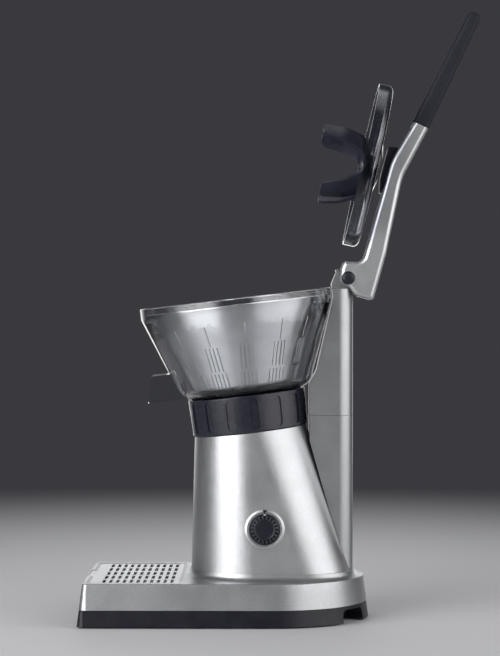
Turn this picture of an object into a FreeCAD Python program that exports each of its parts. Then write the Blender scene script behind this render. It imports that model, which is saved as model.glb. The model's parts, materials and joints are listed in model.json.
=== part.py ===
import FreeCAD, Part
import math
import os
import Sketcher

# Electric citrus press with a lever arm. Millimetres, +X to the rear, +Z up, the dial on the -Y side.
# The origin is on the table, in the middle of the base's length. The bowl, the strainer, the reamer
# and the drive stand on the press axis, which leans forward, and are drawn along their own Z.

SIZES = {
    # Base: flat front, straight sides, half-round rear
    "base_top_z": 46.0, "base_split_z": 18.8, "base_front_x": -148.2, "base_rear_centre_x": 49.6,
    "base_rear_radius": 98.2, "base_draft": 8.0, "base_corner_radius": 5.0, "base_edge_radius": 1.6,
    "base_wall": 2.6, "split_gap": 0.5, "underbody_low_z": 1.6, "underbody_draft": 8.0,
    "underbody_wall": 2.8, "notch_angle": 32.0, "notch_half_width": 20.0, "notch_height": 15.0,
    "notch_depth": 22.0, "notch_rounding": 7.0, "flare_height": 7.0, "flare_lean": 15.0,
    "flare_radius": 6.0, "flare_lip": 0.5,
    "foot_radius": 11.0, "foot_front_x": -124.0, "foot_rear_x": 66.0,
    "foot_half_y": 76.0, "boss_radius": 4.2, "boss_hole_radius": 1.6, "screw_head_radius": 3.4,
    # Drip tray and grille
    "tray_front_x": -144.0, "tray_rear_x": -45.4, "tray_half_y": 91.0, "tray_corner_radius": 7.0,
    "tray_wall": 1.6, "tray_depth": 16.0, "tray_gap": 0.35, "ledge_width": 3.0, "ledge_drop": 4.0,
    "grille_sheet": 1.2, "grille_drop": 0.3, "slot_columns": 12.0, "slot_rows": 5.0,
    "slot_pitch_x": 7.14, "slot_pitch_y": 34.4, "slot_width": 3.4, "slot_length": 26.0,
    "tab_half_y": 25.0, "tab_reach": 5.2, "tab_room": 2.0,
    # Press axis
    "press_x": 21.9, "press_z": 240.1, "press_tilt": 6.7,
    # Drive housing: a leaning tapered shell from an oval foot to the tilted collar seat
    "housing_top_radius": 60.6, "housing_top_drop": 39.7, "housing_foot_front_x": -37.6,
    "housing_foot_rear_x": 134.0, "housing_foot_half_y": 70.0, "housing_front_radius": 69.5,
    "housing_rear_radius": 52.0, "housing_wall": 2.6,
    # Deck, seal and twist collar under the bowl
    "deck_flange_radius": 57.5, "deck_neck_radius": 43.0, "deck_wall": 2.6, "deck_top_drop": 4.0,
    "tower_radius": 11.6, "tower_top": 38.0,
    "seal_radius": 10.6, "collar_radius": 63.3, "collar_draft": 1.9, "collar_height": 39.2,
    "collar_wall": 3.6, "collar_web": 3.0, "collar_lip": 2.4, "collar_lip_drop": 7.0,
    "collar_tab_radius": 49.6, "flute_count": 15.0, "flute_width": 8.6, "flute_end_margin": 3.6,
    "flute_depth": 1.5, "flute_phase": 7.0, "bayonet_drop": 10.8, "bayonet_height": 4.0,
    "bayonet_reach": 52.6, "bayonet_count": 3.0, "bayonet_half_angle": 15.0,
    # Juice bowl and spout
    "bowl_rim_radius": 103.4, "bowl_lip_height": 12.0, "bowl_rim_z": 103.6, "bowl_wall": 3.0,
    "bowl_floor_z": 0.6, "bowl_heel_radius": 9.0, "bowl_foot_radius": 48.4, "bowl_foot_wall": 2.2,
    "bowl_foot_drop": 15.0, "chimney_radius": 15.4, "chimney_bore": 12.8, "chimney_top": 44.0,
    "spout_half_y": 16.5, "spout_wall": 2.2, "spout_top_z": 31.0, "spout_tip_x": 107.2,
    "spout_tip_top_x": 99.0, "spout_root_x": 60.0, "spout_floor_root_z": 2.6,
    "spout_floor_tip_z": 0.1,
    # Strainer
    "strainer_sheet": 1.0, "strainer_top_radius": 87.5, "strainer_top_z": 92.0,
    "strainer_floor_radius": 54.6,
    "strainer_floor_z": 8.2, "strainer_flange_radius": 97.6, "strainer_flange_z": 96.6,
    "strainer_collar_radius": 16.6, "strainer_collar_top": 22.0, "slit_width": 1.3,
    "slit_groups": 12.0, "slit_phase": 5.6, "slit_long_low": 55.6, "slit_long_high": 79.0,
    "slit_mid_low": 29.0, "slit_mid_high": 54.5, "slit_mid_pitch": 4.4,
    "slit_low_low": 11.0, "slit_low_high": 26.0, "slit_low_pitch": 4.3,
    # Reamer
    "reamer_tip_z": 98.0, "reamer_base_z": 56.0, "reamer_radius": 32.0, "reamer_core": 0.82,
    "reamer_rib_count": 8.0, "reamer_rib_width": 3.2, "reamer_skirt_radius": 21.0,
    "reamer_skirt_low_z": 14.0, "reamer_wall": 2.4, "reamer_hub_radius": 8.6,
    # Gear train: two stages that end on the axis they start from, module 1
    "gear_module": 1.0, "pinion_teeth": 12.0, "idler_wheel_teeth": 46.0, "idler_pinion_teeth": 14.0,
    "output_teeth": 44.0, "gear_backlash": 0.16, "pressure_angle": 20.0,
    "output_face_z": -54.0, "output_face_width": 10.0, "wheel_face_z": -67.0,
    "wheel_face_width": 8.0, "idler_axle_radius": 3.0, "idler_bore_gap": 0.05,
    "output_hub_radius": 9.0, "output_hub_top": -46.0,
    "shaft_across_flats": 9.0, "shaft_gap": 0.06, "shaft_top": 78.0, "shaft_low": -62.5,
    # Gearbox and motor
    "box_radius": 28.4, "box_wall": 2.5, "box_split_z": -60.0,
    "box_low_z": -80.0, "bush_wall": 2.0,
    "motor_radius": 29.0, "motor_top_z": -84.0, "motor_length": 58.0, "motor_wall": 1.6,
    "rotor_radius": 17.0, "rotor_gap": 1.0, "rotor_length": 34.0, "rotor_shaft_radius": 2.5,
    "motor_bush_radius": 7.0,
    # Column behind the bowl
    "column_rear_x": 136.4, "column_half_y": 28.0, "column_front_x": 89.5, "column_nose_half_y": 18.0,
    "column_nose_length": 22.0,
    "column_corner_radius": 16.0, "column_split_z": 218.0, "column_top_z": 353.2,
    "column_wall": 2.6, "column_slope_low_x": 97.0, "column_slope_low_z": 264.6,
    "column_slope_high_x": 115.4, "column_slope_high_z": 343.8, "column_fit": 0.3,
    "post_front_x": 119.6, "post_thickness": 12.0, "post_half_y": 17.0, "post_wall": 2.0,
    # Hinge
    "hinge_x": 131.0, "hinge_z": 364.9, "lug_half_y": 19.0, "pin_radius": 5.0, "pin_gap": 0.05,
    "bush_radius": 7.0, "bush_flange_radius": 8.4, "cap_radius": 7.2, "cap_height": 2.6,
    "closing_angle": 109.5,
    # Lever arm
    "arm_half_y": 27.0, "arm_cheek": 3.2, "arm_spine": 3.2, "arm_edge_radius": 5.0,
    "tang_half_y": 9.0, "grip_half_y": 18.5, "grip_edge_radius": 5.0,
    # Clear lid and press cup
    "lid_seat_z": 98.2, "lid_radius": 88.6, "lid_depth": 16.0, "lid_wall": 3.0,
    "lid_dome_height": 5.0, "lid_dome_radius": 38.0, "lid_edge_radius": 6.0,
    "cup_reach": 43.0, "cup_tip_radius": 48.0, "cup_wall": 3.0, "cup_hub_radius": 13.0,
    "cup_waist_radius": 33.0, "cup_seat_z": -16.0, "cup_hang": 9.0, "cup_bore_low": 3.2,
    "cup_bore_high": 4.8, "petal_root_half": 20.0, "petal_half_width": 13.5, "petal_tip_half": 8.2,
    "petal_corner_radius": 6.8, "cup_phase": 51.0, "bolt_head_z": -3.3,
    "bracket_half_y": 14.0,
    # Speed dial on the side of the housing
    "dial_x": 42.0, "dial_z": 99.8, "dial_surface_y": -66.9, "dial_lean": 3.48,
    "bezel_radius": 21.3, "bezel_lip": 0.9, "bezel_floor_radius": 17.2, "bezel_depth": 4.0,
    "knob_radius": 16.2, "knob_height": 8.0, "knob_face_radius": 11.4, "knob_flutes": 18.0,
    "knob_flute_radius": 1.3, "spindle_radius": 3.0, "sensor_radius": 8.5, "sensor_depth": 9.0,
    # Inner electrical pieces
    "board_length": 64.0, "board_width": 44.0, "board_thickness": 1.6, "board_x": 66.0, "board_z": 12.0,
    "gland_radius": 4.0, "gland_bore": 2.8, "gland_z": 9.4, "switch_x": -17.5, "switch_top_z": -18.5,
    # Fasteners
    "screw_radius": 1.5, "screw_head_height": 1.8, "screw_well": 8.0, "boss_front_x": -34.0,
    "boss_mid_x": 30.0, "boss_half_y": 86.0, "boss_rear_x": 96.0, "boss_rear_y": 74.0,
    "deck_screw_radius": 49.0, "ear_x": 32.2, "ear_low_y": 2.0, "ear_high_y": 28.0, "ear_radius": 4.4,
    "bezel_hole_radius": 20.0, "tower_bore": 6.4, "seal_height": 2.6,
    # Further places
    "rest_gap": 0.3, "bowl_heel_corner": 68.5, "bowl_wall_skew": 1.074, "bowl_ledge_radius": 95.0,
    "spout_window_out": 86.0, "spout_window_in": 80.6, "box_far_y": 56.4, "axle_y": 29.0,
    "shaft_collar_radius": 8.4, "shaft_collar_z": -14.0, "cover_plate_radius": 55.0,
    "column_shoulder_x": 130.9, "column_shoulder_z": 346.3, "column_crown_x": 114.4,
    "column_slope_foot_z": 249.5, "post_flange_z": 43.1, "post_flange_thickness": 3.0, "lug_low_z": 340.0,
    "bracket_lean": 74.35, "bracket_screw_x": 173.6, "bracket_screw_z": 478.0, "bolt_radius": 2.5,
}

# Corners of the lever arm's, the grip's and the bracket's side outlines, as (x, z)
SPOTS = {
    "arm_nose": (126.7, 383.1), "arm_throat": (146.6, 382.3), "arm_elbow_front": (176.7, 489.8),
    "arm_end_front": (201.4, 531.1), "arm_end_rear": (216.2, 524.3), "arm_elbow_rear": (188.5, 471.7),
    "arm_back": (171.3, 389.9), "arm_heel": (157.6, 340.4), "arm_sole": (137.9, 346.0),
    "arm_step": (131.6, 354.3), "arm_chin": (125.4, 357.7), "arm_cheek_low": (121.9, 363.0),
    "arm_cheek_high": (123.3, 375.8),
    "grip_base_front": (200.4, 532.2), "grip_base_rear": (217.6, 524.3),
    "grip_tip_front": (261.7, 651.7), "grip_tip_rear": (274.6, 645.6),
    "bracket_low": (164.9, 456.6), "bracket_foot": (166.9, 455.8), "bracket_top": (185.0, 504.6),
    "bracket_brow": (174.8, 506.0), "bracket_face_high": (170.2, 489.5), "bracket_face_low": (165.6, 470.6),
    "tang_low_front": (189.5, 495.4), "tang_low_rear": (194.9, 492.8),
    "tang_high_front": (248.2, 614.9), "tang_high_rear": (253.6, 612.3),
    "lug_front": (113.2, 358.6), "lug_brow": (118.2, 370.8), "lug_rear": (141.0, 364.9),
}

for spot_name, (spot_x, spot_z) in SPOTS.items():
    SIZES[spot_name + "_x"] = spot_x
    SIZES[spot_name + "_z"] = spot_z

doc = FreeCAD.newDocument("citrus_press")
sheet = doc.addObject("Spreadsheet::Sheet", "dim")
for row, (alias, number) in enumerate(SIZES.items(), start=1):
    sheet.set(f"A{row}", alias)
    sheet.set(f"B{row}", str(number))
    sheet.setAlias(f"B{row}", alias)
doc.recompute()


class Size:
    """A number together with the sheet expression that gives it."""

    def __init__(self, value, text):
        self.value = float(value)
        self.text = text

    def joined(self, sign, other, value):
        return Size(value, f"({self.text} {sign} {as_size(other).text})")

    def __add__(self, other):
        return self.joined("+", other, self.value + number(other))

    def __sub__(self, other):
        return self.joined("-", other, self.value - number(other))

    def __mul__(self, other):
        return self.joined("*", other, self.value * number(other))

    def __truediv__(self, other):
        return self.joined("/", other, self.value / number(other))

    def __radd__(self, other):
        return as_size(other) + self

    def __rsub__(self, other):
        return as_size(other) - self

    def __rmul__(self, other):
        return as_size(other) * self

    def __neg__(self):
        return Size(-self.value, f"(0 - {self.text})")


class Cells:
    """The sheet's cells by their aliases."""

    def __getattr__(self, alias):
        return Size(SIZES[alias], f"dim.{alias}")


def as_size(item):
    return item if isinstance(item, Size) else Size(item, repr(float(item)))


def number(item):
    return item.value if isinstance(item, Size) else float(item)


def sine(angle):
    return Size(math.sin(math.radians(number(angle))), f"sin({as_size(angle).text})")


def cosine(angle):
    return Size(math.cos(math.radians(number(angle))), f"cos({as_size(angle).text})")


def tangent(angle):
    return Size(math.tan(math.radians(number(angle))), f"tan({as_size(angle).text})")


D = Cells()


def corner(name, radius=0, dx=0, dz=0):
    """A named corner of a side outline, rounded, and shifted where a wall needs it."""
    x = Size(SIZES[name + "_x"], f"dim.{name}_x")
    z = Size(SIZES[name + "_z"], f"dim.{name}_z")
    return (x + dx if dx else x, z + dz if dz else z, radius)


V = FreeCAD.Vector
UP = (0, 0, 1)
LEAN = (0, -1, 0)
pieces = []


def bind(item, prop, size):
    item.setExpression(prop, as_size(size).text)


def place(item, x=0, y=0, z=0, *turns):
    """Put a sub-part in the frame, turned by (axis, angle) pairs of which the last comes first."""
    spot = "; ".join(as_size(size).text for size in (x, y, z))
    spins = [f"rotation(vector({ax}; {ay}; {az}); {as_size(angle).text})" for (ax, ay, az), angle in turns]
    turning = " * ".join(spins) or "rotation(vector(0; 0; 1); 0)"
    item.setExpression("Placement", f"placement(vector({spot}); {turning})")


def new_body(name, keep=True):
    body = doc.addObject("PartDesign::Body", name)
    body.Label = name
    if keep:
        pieces.append(body)
    return body


def on_press_axis(item, along=0, spin=0):
    """Stand an item on the press axis, some way along it and spun about it."""
    place(item, D.press_x - along * sine(D.press_tilt), 0, D.press_z + along * cosine(D.press_tilt),
          (LEAN, D.press_tilt), (UP, spin))
    return item


def new_sketch(body, role, offset=0, turn=None):
    """A sketch on one of the body's own planes: XY looks up, XZ looks to -Y, YZ looks to +X."""
    plane = next(item for item in body.Origin.OriginFeatures if item.Role == role + "_Plane")
    sketch = body.newObject("Sketcher::SketchObject", body.Name + "_sketch")
    sketch.AttachmentSupport = [(plane, "")]
    sketch.MapMode = "FlatFace"
    if turn:
        axis, angle = turn
        sketch.AttachmentOffset = FreeCAD.Placement(V(0, 0, 0), FreeCAD.Rotation(V(*axis), number(angle)))
        bind(sketch, ".AttachmentOffset.Rotation.Angle", angle)
    bind(sketch, ".AttachmentOffset.Base.z", offset)
    return sketch


def fix(sketch, kind, spot, size, name):
    """Add a dimension to a sketch and bind it to its cells."""
    index = sketch.addConstraint(Sketcher.Constraint(kind, *spot, number(size)))
    sketch.renameConstraint(index, name)
    if isinstance(size, Size):
        sketch.setExpression(f"Constraints.{name}", size.text)


def draw(sketch, corners):
    """A closed outline through corners (x, y) or (x, y, radius of the rounding)."""
    start = sketch.GeometryCount
    count = len(corners)
    points = [V(number(c[0]), number(c[1]), 0) for c in corners]
    radii = [c[2] if len(c) > 2 else 0 for c in corners]
    ends = []
    for i, radius in enumerate(radii):
        back = (points[i - 1] - points[i]).normalize()
        ahead = (points[(i + 1) % count] - points[i]).normalize()
        reach = number(radius) / math.tan(back.getAngle(ahead) / 2) if number(radius) else 0
        ends.append((points[i] + back * reach, points[i] + ahead * reach))
    for i in range(count):
        sketch.addGeometry(Part.LineSegment(ends[i][1], ends[(i + 1) % count][0]), False)
    for i, (x, y) in enumerate((c[0], c[1]) for c in corners):
        before = start + (i - 1) % count
        after = start + i
        spot = after
        if number(radii[i]):
            spot = round_corner(sketch, points[i], ends[i], radii[i], before, after, f"r{start}_{i}")
        else:
            sketch.addConstraint(Sketcher.Constraint("Coincident", before, 2, after, 1))
        fix(sketch, "DistanceX", (-1, 1, spot, 1), x, f"x{start}_{i}")
        fix(sketch, "DistanceY", (-1, 1, spot, 1), y, f"y{start}_{i}")
    return sketch


def round_corner(sketch, corner, ends, radius, before, after, name):
    """A tangent arc in place of a corner, whose own place stays as a construction point."""
    first, last = ends
    middle_way = ((first + last) * 0.5 - corner)
    half = math.atan2((last - first).Length / 2, middle_way.Length)
    to_arc = number(radius) / math.sin(half) - number(radius)
    middle = corner + middle_way.normalize() * to_arc
    arc = sketch.addGeometry(Part.Arc(first, middle, last), False)
    starts_first = (sketch.getPoint(arc, 1) - first).Length < 1e-6
    spot = sketch.addGeometry(Part.Point(corner), True)
    sketch.addConstraint(Sketcher.Constraint("Tangent", before, 2, arc, 1 if starts_first else 2))
    sketch.addConstraint(Sketcher.Constraint("Tangent", after, 1, arc, 2 if starts_first else 1))
    sketch.addConstraint(Sketcher.Constraint("PointOnObject", spot, 1, before))
    sketch.addConstraint(Sketcher.Constraint("PointOnObject", spot, 1, after))
    fix(sketch, "Radius", (arc,), radius, name)
    return spot


def circle(sketch, x, y, radius):
    index = sketch.addGeometry(Part.Circle(V(number(x), number(y), 0), V(0, 0, 1), number(radius)), False)
    fix(sketch, "DistanceX", (-1, 1, index, 3), x, f"x{index}")
    fix(sketch, "DistanceY", (-1, 1, index, 3), y, f"y{index}")
    fix(sketch, "Radius", (index,), radius, f"r{index}")
    return sketch


def hexagon(sketch, across):
    """A hexagon about the sketch's origin, with a flat to each side."""
    reach = across / cosine(30) / 2
    return draw(sketch, [(reach * cosine(60 * i), reach * sine(60 * i)) for i in range(6)])


def feature(body, kind, sketch, **settings):
    item = body.newObject("PartDesign::" + kind, body.Name + "_" + kind.lower())
    item.Profile = sketch
    for prop, size in settings.items():
        if isinstance(size, (Size, float)):
            bind(item, prop, size)
        else:
            setattr(item, prop, size)
    return item


def pad(body, sketch, length, down=False, both=False, taper=None):
    item = feature(body, "Pad", sketch, Length=as_size(length))
    item.SideType = "Symmetric" if both else "One side"
    item.Reversed = down
    if taper is not None:
        bind(item, "TaperAngle", taper)
    return item


def cut(body, sketch, depth=None, ahead=False, both=False):
    """A pocket against the sketch's normal, along it with ahead, or through all with no depth."""
    item = feature(body, "Pocket", sketch)
    item.SideType = "Symmetric" if both else "One side"
    item.Reversed = ahead
    if depth is None:
        item.Type = "ThroughAll"
    else:
        bind(item, "Length", depth)
    return item


def revolve(body, sketch):
    """A turned form about the sketch's upright axis, which is the body's Z in an XZ sketch."""
    item = feature(body, "Revolution", sketch)
    item.ReferenceAxis = (sketch, ["V_Axis"])
    item.Angle = 360
    return item


def groove(body, sketch):
    item = feature(body, "Groove", sketch)
    item.ReferenceAxis = (sketch, ["V_Axis"])
    item.Angle = 360
    return item


def polar(body, originals, count):
    """Repeat features about the body's Z axis."""
    axis = next(item for item in body.Origin.OriginFeatures if item.Role == "Z_Axis")
    item = body.newObject("PartDesign::PolarPattern", body.Name + "_ring")
    item.Originals = originals
    item.Axis = (axis, [""])
    item.Angle = 360
    bind(item, "Occurrences", count)
    body.Tip = item
    return item


def round_edges(body, radius, wanted):
    """Round the edges of the body's last feature that the test picks."""
    doc.recompute()
    last = body.Tip
    names = [f"Edge{i}" for i, edge in enumerate(last.Shape.Edges, start=1) if wanted(edge)]
    item = body.newObject("PartDesign::Fillet", body.Name + "_fillet")
    item.Base = (last, names)
    bind(item, "Radius", radius)
    return item


def base_outline(sketch, rear_radius, front_x, corner):
    """Straight sides and a half-round rear, as one line round the base."""
    centre, r, f = D.base_rear_centre_x, rear_radius, front_x
    half = number(r)
    cx = number(centre)
    fx = number(f)
    c = number(corner)
    side_low = sketch.addGeometry(Part.LineSegment(V(fx + c, -half, 0), V(cx, -half, 0)), False)
    rear = sketch.addGeometry(Part.Arc(V(cx, -half, 0), V(cx + half, 0, 0), V(cx, half, 0)), False)
    side_high = sketch.addGeometry(Part.LineSegment(V(cx, half, 0), V(fx + c, half, 0)), False)
    k = c * (1 - math.sqrt(0.5))
    high = sketch.addGeometry(Part.Arc(V(fx + c, half, 0), V(fx + k, half - k, 0), V(fx, half - c, 0)), False)
    front = sketch.addGeometry(Part.LineSegment(V(fx, half - c, 0), V(fx, c - half, 0)), False)
    low = sketch.addGeometry(Part.Arc(V(fx, c - half, 0), V(fx + k, k - half, 0), V(fx + c, -half, 0)), False)
    chain = [(side_low, 2), (rear, 1), (rear, 2), (side_high, 1), (side_high, 2), (high, 1), (high, 2),
             (front, 1), (front, 2), (low, 1), (low, 2), (side_low, 1)]
    for (first, end), (second, begin) in zip(chain[::2], chain[1::2]):
        sketch.addConstraint(Sketcher.Constraint("Tangent", first, end, second, begin))
    fix(sketch, "DistanceX", (-1, 1, rear, 3), centre, "centre_x")
    fix(sketch, "DistanceY", (-1, 1, rear, 3), 0, "centre_y")
    fix(sketch, "Radius", (rear,), r, "rear_radius")
    fix(sketch, "Radius", (high,), corner, "high_radius")
    fix(sketch, "Radius", (low,), corner, "low_radius")
    fix(sketch, "DistanceX", (-1, 1, front, 1), f, "front_x")
    sketch.addConstraint(Sketcher.Constraint("Horizontal", side_low))
    return sketch


def rectangle(sketch, x0, x1, y0, y1, radius=0):
    return draw(sketch, [(x0, y0, radius), (x1, y0, radius), (x1, y1, radius), (x0, y1, radius)])


def primitive(kind, name, **sizes):
    """One of Part's own solids or curves with its sizes bound."""
    item = doc.addObject("Part::" + kind, name)
    for prop, size in sizes.items():
        bind(item, prop, size)
    return item


def combine(kind, name, base, tool, keep=True):
    """A Cut, Common or Fuse of two objects."""
    item = doc.addObject("Part::" + kind, name)
    item.Label = name
    item.Base = base
    item.Tool = tool
    if keep:
        pieces.append(item)
    return item


def fuse_all(name, items):
    item = doc.addObject("Part::MultiFuse", name)
    item.Shapes = items
    return item


def ring_of(body, z, spots, outer, inner=None, length=1.0, down=False):
    """Round bosses, or tubes where an inner radius is given, at several spots."""
    sketch = new_sketch(body, "XY", z)
    for x, y in spots:
        circle(sketch, x, y, outer)
        if inner is not None:
            circle(sketch, x, y, inner)
    return pad(body, sketch, length, down=down)


def holes(body, z, spots, radius, depth=None, ahead=False):
    sketch = new_sketch(body, "XY", z)
    for x, y in spots:
        circle(sketch, x, y, radius)
    return cut(body, sketch, depth, ahead=ahead)


def screws(name, spots, head_z, length, head_up=True, on_axis=False, shank=None, head=None):
    """A group of like screws: turned heads on plain shanks along Z."""
    body = new_body(name)
    shank = shank or D.screw_radius
    head = head or D.screw_head_radius
    ring_of(body, head_z, spots, head, length=D.screw_head_height, down=not head_up)
    shanks = new_sketch(body, "XY", head_z)
    for x, y in spots:
        circle(shanks, x, y, shank)
    pad(body, shanks, length, down=head_up)
    return on_press_axis(body) if on_axis else body


def around(radius, angles):
    return [(radius * cosine(angle), radius * sine(angle)) for angle in angles]


# Base


def foot_spots():
    """Four feet near the corners, and one in the middle against the load of pressing."""
    corners = [(x, y) for x in (D.foot_front_x, D.foot_rear_x) for y in (-D.foot_half_y, D.foot_half_y)]
    return corners + [(0, 0)]


def base_boss_spots():
    pairs = ((D.boss_front_x, D.boss_half_y), (D.boss_mid_x, D.boss_half_y), (D.boss_rear_x, D.boss_rear_y))
    return [(x, y * side) for x, y in pairs for side in (-1, 1)]


def base_cover():
    """The top shell, with a hollow flare up to the foot of the housing and the column."""
    body = new_body("base_form", keep=False)
    height = D.base_top_z - D.base_split_z
    top = base_outline(new_sketch(body, "XY", D.base_top_z), D.base_rear_radius, D.base_front_x,
                       D.base_corner_radius)
    pad(body, top, height, down=True, taper=D.base_draft)
    round_edges(body, D.base_edge_radius, lambda edge: edge.BoundBox.ZMin > number(D.base_top_z) - 0.1)
    lip = D.flare_lip
    rear = D.column_rear_x + lip
    plinth = draw(new_sketch(body, "XY", D.base_top_z + D.flare_height), [
        (D.housing_foot_front_x - lip, -D.housing_foot_half_y - lip, D.housing_front_radius + lip),
        (rear, -D.housing_foot_half_y - lip, D.housing_rear_radius + lip),
        (rear, D.housing_foot_half_y + lip, D.housing_rear_radius + lip),
        (D.housing_foot_front_x - lip, D.housing_foot_half_y + lip, D.housing_front_radius + lip)])
    pad(body, plinth, D.flare_height, down=True, taper=D.flare_lean)
    outer_y = number(D.housing_foot_half_y) + 6
    outer_x = number(rear) + 6

    def at_flare_foot(edge):
        box = edge.BoundBox
        level = max(abs(box.ZMin - number(D.base_top_z)), abs(box.ZMax - number(D.base_top_z)))
        return level < 0.01 and box.YMax < outer_y and box.YMin > -outer_y and box.XMax < outer_x

    round_edges(body, D.flare_radius, at_flare_foot)
    hollow = base_outline(new_sketch(body, "XY", D.base_top_z - D.base_wall),
                          D.base_rear_radius - D.base_wall, D.base_front_x + D.base_wall,
                          D.base_corner_radius)
    inner = cut(body, hollow, height)
    bind(inner, "TaperAngle", D.base_draft)
    well = rectangle(new_sketch(body, "XY", D.base_top_z), D.tray_front_x, D.tray_rear_x,
                     -D.tray_half_y, D.tray_half_y, D.tray_corner_radius)
    cut(body, well, D.base_wall * 2)
    cut(body, tab_room(body, D.base_top_z), D.tab_room)
    mouth = new_sketch(body, "XY", D.base_top_z)
    circle(mouth, (D.housing_foot_front_x + D.post_front_x) / 2 - 10, 0, D.housing_foot_half_y * 0.9)
    cut(body, mouth, D.base_wall * 2)
    fit = D.column_fit
    post = rectangle(new_sketch(body, "XY", D.base_top_z), D.post_front_x - fit,
                     D.post_front_x + D.post_thickness + fit, -D.post_half_y - fit, D.post_half_y + fit)
    cut(body, post, D.base_wall * 2)
    holes(body, D.base_top_z + 1, post_screw_spots(), D.boss_hole_radius, D.base_wall + 2)
    low = D.base_split_z
    ring_of(body, low, base_boss_spots(), D.boss_radius, D.boss_hole_radius,
            D.base_top_z - D.base_wall / 2 - low)
    # Rooms for the column and the housing in the flare
    half = D.column_half_y + fit
    rounding = D.column_corner_radius + fit
    column = draw(new_sketch(body, "XY", D.base_top_z), [
        (D.column_front_x, -half), (D.column_rear_x + fit, -half, rounding),
        (D.column_rear_x + fit, half, rounding), (D.column_front_x, half)])
    cut(body, column, D.flare_height + 1, ahead=True)
    room = housing_loft("base_housing_room", fit, D.housing_top_drop, D.base_top_z)
    combine("Cut", "base_cover", body, room)


def underbody():
    body = new_body("underbody")
    drop = D.base_top_z - D.base_split_z
    flare = drop * tangent(D.base_draft) - D.split_gap
    top_z = D.base_split_z - D.split_gap
    height = top_z - D.underbody_low_z
    rear_radius = D.base_rear_radius + flare
    front_x = D.base_front_x - flare
    top = base_outline(new_sketch(body, "XY", top_z), rear_radius, front_x, D.base_corner_radius)
    pad(body, top, height, down=True, taper=D.underbody_draft)
    hollow = base_outline(new_sketch(body, "XY", top_z), rear_radius - D.underbody_wall,
                          front_x + D.underbody_wall, D.base_corner_radius)
    cut(body, hollow, height - D.underbody_wall)
    ring_of(body, D.underbody_low_z, foot_spots(), D.foot_radius + D.underbody_wall,
            length=D.underbody_wall * 2)
    holes(body, D.underbody_low_z, foot_spots(), D.foot_radius + D.column_fit / 2, D.underbody_wall,
          ahead=True)
    ring_of(body, D.underbody_low_z + D.underbody_wall / 2, base_boss_spots(), D.boss_radius + 2,
            length=top_z - D.underbody_low_z - D.underbody_wall / 2 - D.split_gap)
    holes(body, D.underbody_low_z, base_boss_spots(), D.screw_head_radius + D.column_fit,
          D.screw_well, ahead=True)
    holes(body, top_z, base_boss_spots(), D.boss_hole_radius, D.base_split_z)
    ring_of(body, D.underbody_low_z + D.underbody_wall / 2, board_spots(), 3, D.boss_hole_radius,
            D.board_z - D.underbody_low_z - D.underbody_wall / 2 - 0.1)
    # Arched notch in the rear wall, with its own roof and side walls
    wall = D.underbody_wall
    low = D.underbody_low_z
    depth = D.notch_depth
    half = D.notch_half_width
    inner = rear_radius - depth
    hood = at_notch(body, inner)
    rectangle(hood, -half - wall, half + wall, low + wall / 2, D.notch_height + wall, 2)
    pad(body, hood, depth - wall + 0.1)
    mouth = at_notch(body, inner + wall)
    draw(mouth, [(-half, low - 1), (half, low - 1), (half, D.notch_height, D.notch_rounding),
                 (-half, D.notch_height, D.notch_rounding)])
    cut(body, mouth, depth + 12, ahead=True)
    hole = at_notch(body, inner - 1)
    circle(hole, 0, D.gland_z, D.gland_radius + 0.1)
    cut(body, hole, wall + 4, ahead=True)


def at_notch(body, radius):
    """A sketch that faces out through the notch, at a radius from the rear's centre."""
    sketch = new_sketch(body, "YZ", D.base_rear_centre_x + radius * cosine(D.notch_angle),
                        ((0, 1, 0), -D.notch_angle))
    bind(sketch, ".AttachmentOffset.Base.x", 0 - radius * sine(D.notch_angle))
    return sketch


def cable_gland():
    body = new_body("cable_gland")
    bore = D.gland_bore
    draw(sketch := new_sketch(body, "XZ"), [
        (bore, -4), (D.gland_radius, -4), (D.gland_radius, D.underbody_wall + 0.1),
        (D.gland_radius + 1.2, D.underbody_wall + 0.1), (D.gland_radius + 1.2, D.underbody_wall + 1.6, 0.6),
        (bore + 0.8, D.underbody_wall + 3.4, 0.6), (bore, D.underbody_wall + 3.4)])
    revolve(body, sketch)
    flare = (D.base_top_z - D.base_split_z) * tangent(D.base_draft) - D.split_gap
    radius = D.base_rear_radius + flare - D.notch_depth
    place(body, D.base_rear_centre_x + radius * cosine(D.notch_angle), 0 - radius * sine(D.notch_angle),
          D.gland_z, (UP, 0 - D.notch_angle), ((0, 1, 0), 90))


def board_spots():
    return [(D.board_x + side * (D.board_length / 2 - 4), end * (D.board_width / 2 - 4))
            for side in (-1, 1) for end in (-1, 1)]


def control_board():
    body = new_body("control_board")
    x = D.board_x
    half = D.board_length / 2
    wide = D.board_width / 2
    rectangle(sketch := new_sketch(body, "XY", D.board_z), x - half, x + half, -wide, wide)
    for spot in board_spots():
        circle(sketch, *spot, D.boss_hole_radius + 0.1)
    pad(body, sketch, D.board_thickness)
    top = D.board_z + D.board_thickness - 0.2
    ring_of(body, top, [(x - 14, 8), (x - 2, 8)], 4.5, length=14.0)
    blocks = new_sketch(body, "XY", top)
    rectangle(blocks, x - 26, x - 12, -14, -4)
    rectangle(blocks, x - 6, x + 8, -16, -6)
    rectangle(blocks, x + 14, x + 27, -8, 14)
    pad(body, blocks, 9.0)


def feet():
    body = new_body("rubber_feet")
    ring_of(body, 0, foot_spots(), D.foot_radius, length=D.underbody_low_z + D.underbody_wall - 0.2)


# Drive housing


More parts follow.
